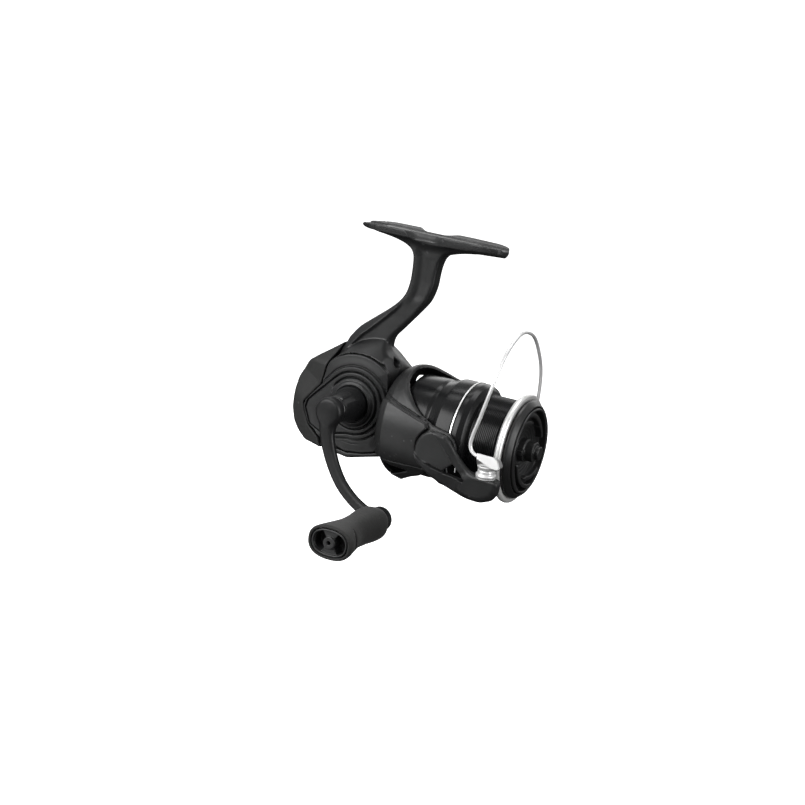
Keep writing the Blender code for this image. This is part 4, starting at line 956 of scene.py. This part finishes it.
def cone_field(p):
    """The bright cover that the wire runs into: two flat faces that meet in a slanted ridge."""
    x, y, z = p.T
    above = (z - RIDGE_AT[1]) * 0.93 + (x - RIDGE_AT[0]) * 0.36
    near = CONE_NEAR - np.where(above > 0, 0.45 * above, -0.30 * above) + 0.05 * (x - 70.0)
    field = common(WEDGE_PLAN(x, z), (-y - near) * 0.8, 0.35)
    field = common(field, y + CONE_FAR + 0.25 * abs(x - 69.5), 1.2)
    field = common(field, (z - CONE_TOP + 0.65 * (y + 31.0)) * 0.84, 0.3)
    neck = np.sqrt(((p - NECK_AT) ** 2).sum(1)) - NECK_R
    field = union(field, neck, 0.5)
    return carve(field, wire_gap(p, [(65.6, -27.4, 2.9), *WIRE_ROUTE[:4]], 1.05), 0.15)


def make_bail():
    skin("bail_lever", "bail", lever_field, ((35.5, -32.3, -16), (76.8, -24.3, 11)), 0.27,
         "body", 1.0)
    end = [(-6.3, 0), (-6.3, 0.32), (-4.4, 0.32), (-4.4, 0)]
    lathe("bail_spring_end", "bail", end, "wire", "Z", (55.6, -27.6), 24, 0.1)
    skin("bail_lever_far", "bail", far_lever_field, ((36.5, 26, -10), (68, 31, 10)), 0.3,
         "body", 0.6)
    route = smooth_path(WIRE_ROUTE, 12)
    tube_along("bail_wire", "bail", route, WIRE_R, "wire")
    skin("wire_cone", "bail", cone_field, ((62.5, -33.0, 0.2), (77.5, -23.5, 6.6)), 0.18,
         "wedge", 0.6)
    roller_profile = [
        (-3.9, 2.8), (-3.9, 4.1), (-3.3, 4.15), (-2.9, 3.9), (-2.6, 3.5), (-1.5, 3.45), (-1.3, 3.25),
        (-1.1, 3.25), (-0.9, 3.5), (-0.1, 3.7), (0.2, 3.9), (0.6, 3.9), (0.6, 2.8),
    ]
    lathe("line_roller", "line_roller", roller_profile, "wire", "Z",
          (ROLLER_X, ROLLER_Y), 96, 0.15)


# ---------------------------------------------------------------- spool and drag knob

RIDGE_PITCH = 0.78
VALLEY_R, RIDGE_R = 18.62, 19.05
BARREL = (55.6, 67.4)
SKIRT = [
    (24.4, 19.4), (24.4, 20.8), (35.4, 21.1), (37.0, 20.7), (40.0, 21.7), (42.0, 22.6), (48.3, 22.7),
    (48.3, 22.1), (49.5, 22.1), (49.5, 22.7), (51.6, 22.7), (53.8, 21.9), (55.0, 20.2), (55.4, 18.9),
]
SPOOL_INSIDE = [
    (67.6, 19.0), (68.4, 19.5), (68.4, 12.4), (60.2, 12.4), (60.2, 2.4), (50.6, 2.4), (50.6, 9.0),
    (52.6, 17.0), (50.0, 19.4),
]
LIP = [
    (68.7, 13.0), (68.7, 20.6), (69.1, 22.0), (69.9, 22.8), (70.8, 23.0), (71.5, 22.8), (71.95, 22.2),
    (71.95, 20.9), (71.6, 20.6), (71.6, 13.0),
]
FLANGE = [(72.2, 18.3), (72.2, 20.3), (72.7, 20.7), (73.6, 20.4), (75.1, 19.1), (75.4, 18.8), (75.4, 18.3)]
KNOB_R = 17.9
LENS_R = 22.0
LENS_AT = (6.0, 2.4)  # half the way between the centres of the recess's two arcs, in Y and Z
LENS_RIM, LENS_FLOOR = 16.9, 73.1
KNOB_BACK, KNOB_FRONT = 72.2, 76.3
VANES = ((3.6, 75.9), (7.0, 75.3))  # distance in from the arc, front end
RING_RADII, RING_FLOOR, RING_STEP = (11.6, 10.2, 8.8, 7.4, 6.0), 72.9, 0.3
HUB_STEPS = ((4.9, 71.0, 74.6, 0.4, 0.25), (4.2, 74.0, 78.4, 0.4, 0.25))  # radius, ends, edge, fillet
WING = (1.1, 6.6, 71.0, 75.0)  # half height, half width, ends
TIP = (2.75, 78.0, 80.4, 0.35)


def drag_knob_field(p):
    """The drag knob: a slanted lens-shaped recess with curved vanes, stepped rings and a hub."""
    x, y, z = p.T
    r = np.hypot(y, z)
    field = common(r - KNOB_R, slab(x, KNOB_BACK, KNOB_FRONT - 0.010 * r), 0.5)
    field = union(field, cylinder(y, z, x, 12.7, 70.4, 73.0, 0.3), 0.2)
    arcs = [np.hypot(y + s * LENS_AT[0], z + s * LENS_AT[1]) for s in (1, -1)]
    lens = common(common(arcs[0] - LENS_R, arcs[1] - LENS_R, 0.6), r - LENS_RIM, 0.5)
    field = carve(field, np.maximum(lens, LENS_FLOOR - x), 0.35)
    for k, away in enumerate(arcs):
        up = z if k == 0 else -z
        for offset, top in VANES:
            vane = common(abs(away - LENS_R + offset) - 0.85, slab(x, 72.0, top), 0.35)
            vane = common(vane, np.maximum(lens + 0.1, 0.8 + 0.8 * offset - up), 0.5)
            field = union(field, vane, 0.25)
    for k, radius in enumerate(RING_RADII):
        field = carve(field, np.maximum(r - radius, RING_FLOOR - RING_STEP * k - x), 0.15)
    for radius, low, high, edge, joint in HUB_STEPS:
        field = union(field, cylinder(y, z, x, radius, low, high, edge), joint)
    wing = common(common(abs(z) - WING[0], abs(y) - WING[1], 0.3), slab(x, *WING[2:]), 0.4)
    field = union(field, wing, 0.4)
    field = union(field, cylinder(y, z, x, *TIP), 0.2)
    return carve(field, np.maximum(r - 2.4, x - 76.4), 0.2)


def make_spool():
    ridges = []
    for k in range(int((BARREL[1] - BARREL[0]) / RIDGE_PITCH)):
        x = BARREL[0] + k * RIDGE_PITCH
        ridges += [(x, VALLEY_R), (x + 0.22, RIDGE_R), (x + 0.44, RIDGE_R), (x + 0.66, VALLEY_R)]
    profile = [*fillet(SKIRT, 0.35, 3, closed=False), *ridges, *fillet(SPOOL_INSIDE, 0.3, 3, closed=False)]
    lathe("spool", "spool", profile, "spool", segments=160, corner=0)
    lathe("spool_lip_ring", "spool", LIP, "silver", segments=192, corner=0.2)
    lathe("spool_front_flange", "spool", FLANGE, "satin", segments=192, corner=0.25)
    trim = [(48.6, 22.4), (48.6, 22.86), (49.2, 22.86), (49.2, 22.4)]
    lathe("skirt_trim_ring", "spool", trim, "silver", segments=160, corner=0.08)
    skin("drag_knob", "drag", drag_knob_field, ((70, -18.6, -18.6), (81, 18.6, 18.6)), 0.27,
         "satin", 1.2)


# ---------------------------------------------------------------- stage, light and camera

FLOOR_Z = -0.30
STUDIO = 60.0  # from the middle to each wall, and the height of the walls
CAMERA_AT = (0.2962, -0.6484, 0.1052)
CAMERA_RIGHT = (0.88520459, 0.44607855, 0.1320105)
CAMERA_UP = (-0.22431709, 0.16069175, 0.96117637)
SENSOR, LENS = 36.0, 78.26
MIDDLE = (0.0, 0.0, -0.06)  # what every light points at
LIGHTS = [  # name, place in metres, size, watts
    ("key", (-0.50, -0.85, 0.45), (0.9, 0.8), 13.0),
    ("side", (1.0, -0.25, 0.20), (0.6, 0.8), 7.0),
    ("back", (-0.2, 1.0, 0.25), (1.0, 0.5), 2.0),
    ("low", (-0.28, -0.32, -0.28), (0.35, 0.25), 0.45),
    ("top", (-0.1, 0.25, 0.9), (0.9, 0.5), 5.0),
]


def make_floor():
    """A pale floor and walls that glow like a light table, and neither light the reel nor show in it."""
    made, tree, shader = shader_of("pale_floor")
    shader.inputs["Roughness"].default_value = 0.9
    shader.inputs["Specular IOR Level"].default_value = 0.0
    shade = mixed(tree, noise(tree, 3.0), (0.93, 0.93, 0.93), (0.96, 0.96, 0.96))
    tree.links.new(shade, shader.inputs["Base Color"])
    tree.links.new(shade, shader.inputs["Emission Color"])
    shader.inputs["Emission Strength"].default_value = 1.0
    mesh = bpy.data.meshes.new("floor")
    square = [(-STUDIO, -STUDIO), (STUDIO, -STUDIO), (STUDIO, STUDIO), (-STUDIO, STUDIO)]
    corners = [(x, y, z) for z in (FLOOR_Z, STUDIO) for x, y in square]
    walls = [(k, (k + 1) % 4, (k + 1) % 4 + 4, k + 4) for k in range(4)]
    mesh.from_pydata(corners, [], [(0, 1, 2, 3), *walls])
    mesh.materials.append(made)
    floor = placed("floor", mesh)
    floor.visible_diffuse = False
    floor.visible_glossy = False
    floor.visible_shadow = False


def make_world():
    """Dim studio walls that are brighter overhead than underfoot."""
    world = bpy.data.worlds.new("studio")
    bpy.context.scene.world = world
    world.use_nodes = True
    tree = world.node_tree
    background = tree.nodes["Background"]
    place = tree.nodes.new("ShaderNodeTexCoord").outputs["Generated"]
    split = tree.nodes.new("ShaderNodeSeparateXYZ")
    tree.links.new(place, split.inputs["Vector"])
    glow = scaled(tree, split.outputs["Z"], 0.03, 0.42, -0.25, 0.30)
    tree.links.new(glow, background.inputs["Strength"])
    background.inputs["Color"].default_value = (1, 1, 1, 1)


def area_light(name, at, size, power):
    light = bpy.data.lights.new(name, "AREA")
    light.shape = "RECTANGLE"
    light.size, light.size_y = size
    light.energy = power
    made = placed(name, light)
    made.location = at
    made.rotation_euler = (Vector(MIDDLE) - Vector(at)).to_track_quat("-Z", "Y").to_euler()
    made.visible_camera = False


def make_camera():
    lens = bpy.data.cameras.new("camera")
    lens.sensor_width = SENSOR
    lens.lens = LENS
    lens.clip_start = 0.02
    camera = placed("camera", lens)
    right, up = Vector(CAMERA_RIGHT), Vector(CAMERA_UP)
    turn = Matrix((right, up, right.cross(up))).transposed()
    camera.matrix_world = Matrix.Translation(CAMERA_AT) @ turn.to_4x4()
    bpy.context.scene.camera = camera


def make_stage():
    make_floor()
    make_world()
    for lamp in LIGHTS:
        area_light(*lamp)
    bpy.context.scene.view_settings.view_transform = "Standard"


dress_cad_nodes()
make_camera()
make_body()
make_handle()
make_rotor()
make_bail()
make_spool()
make_stage()
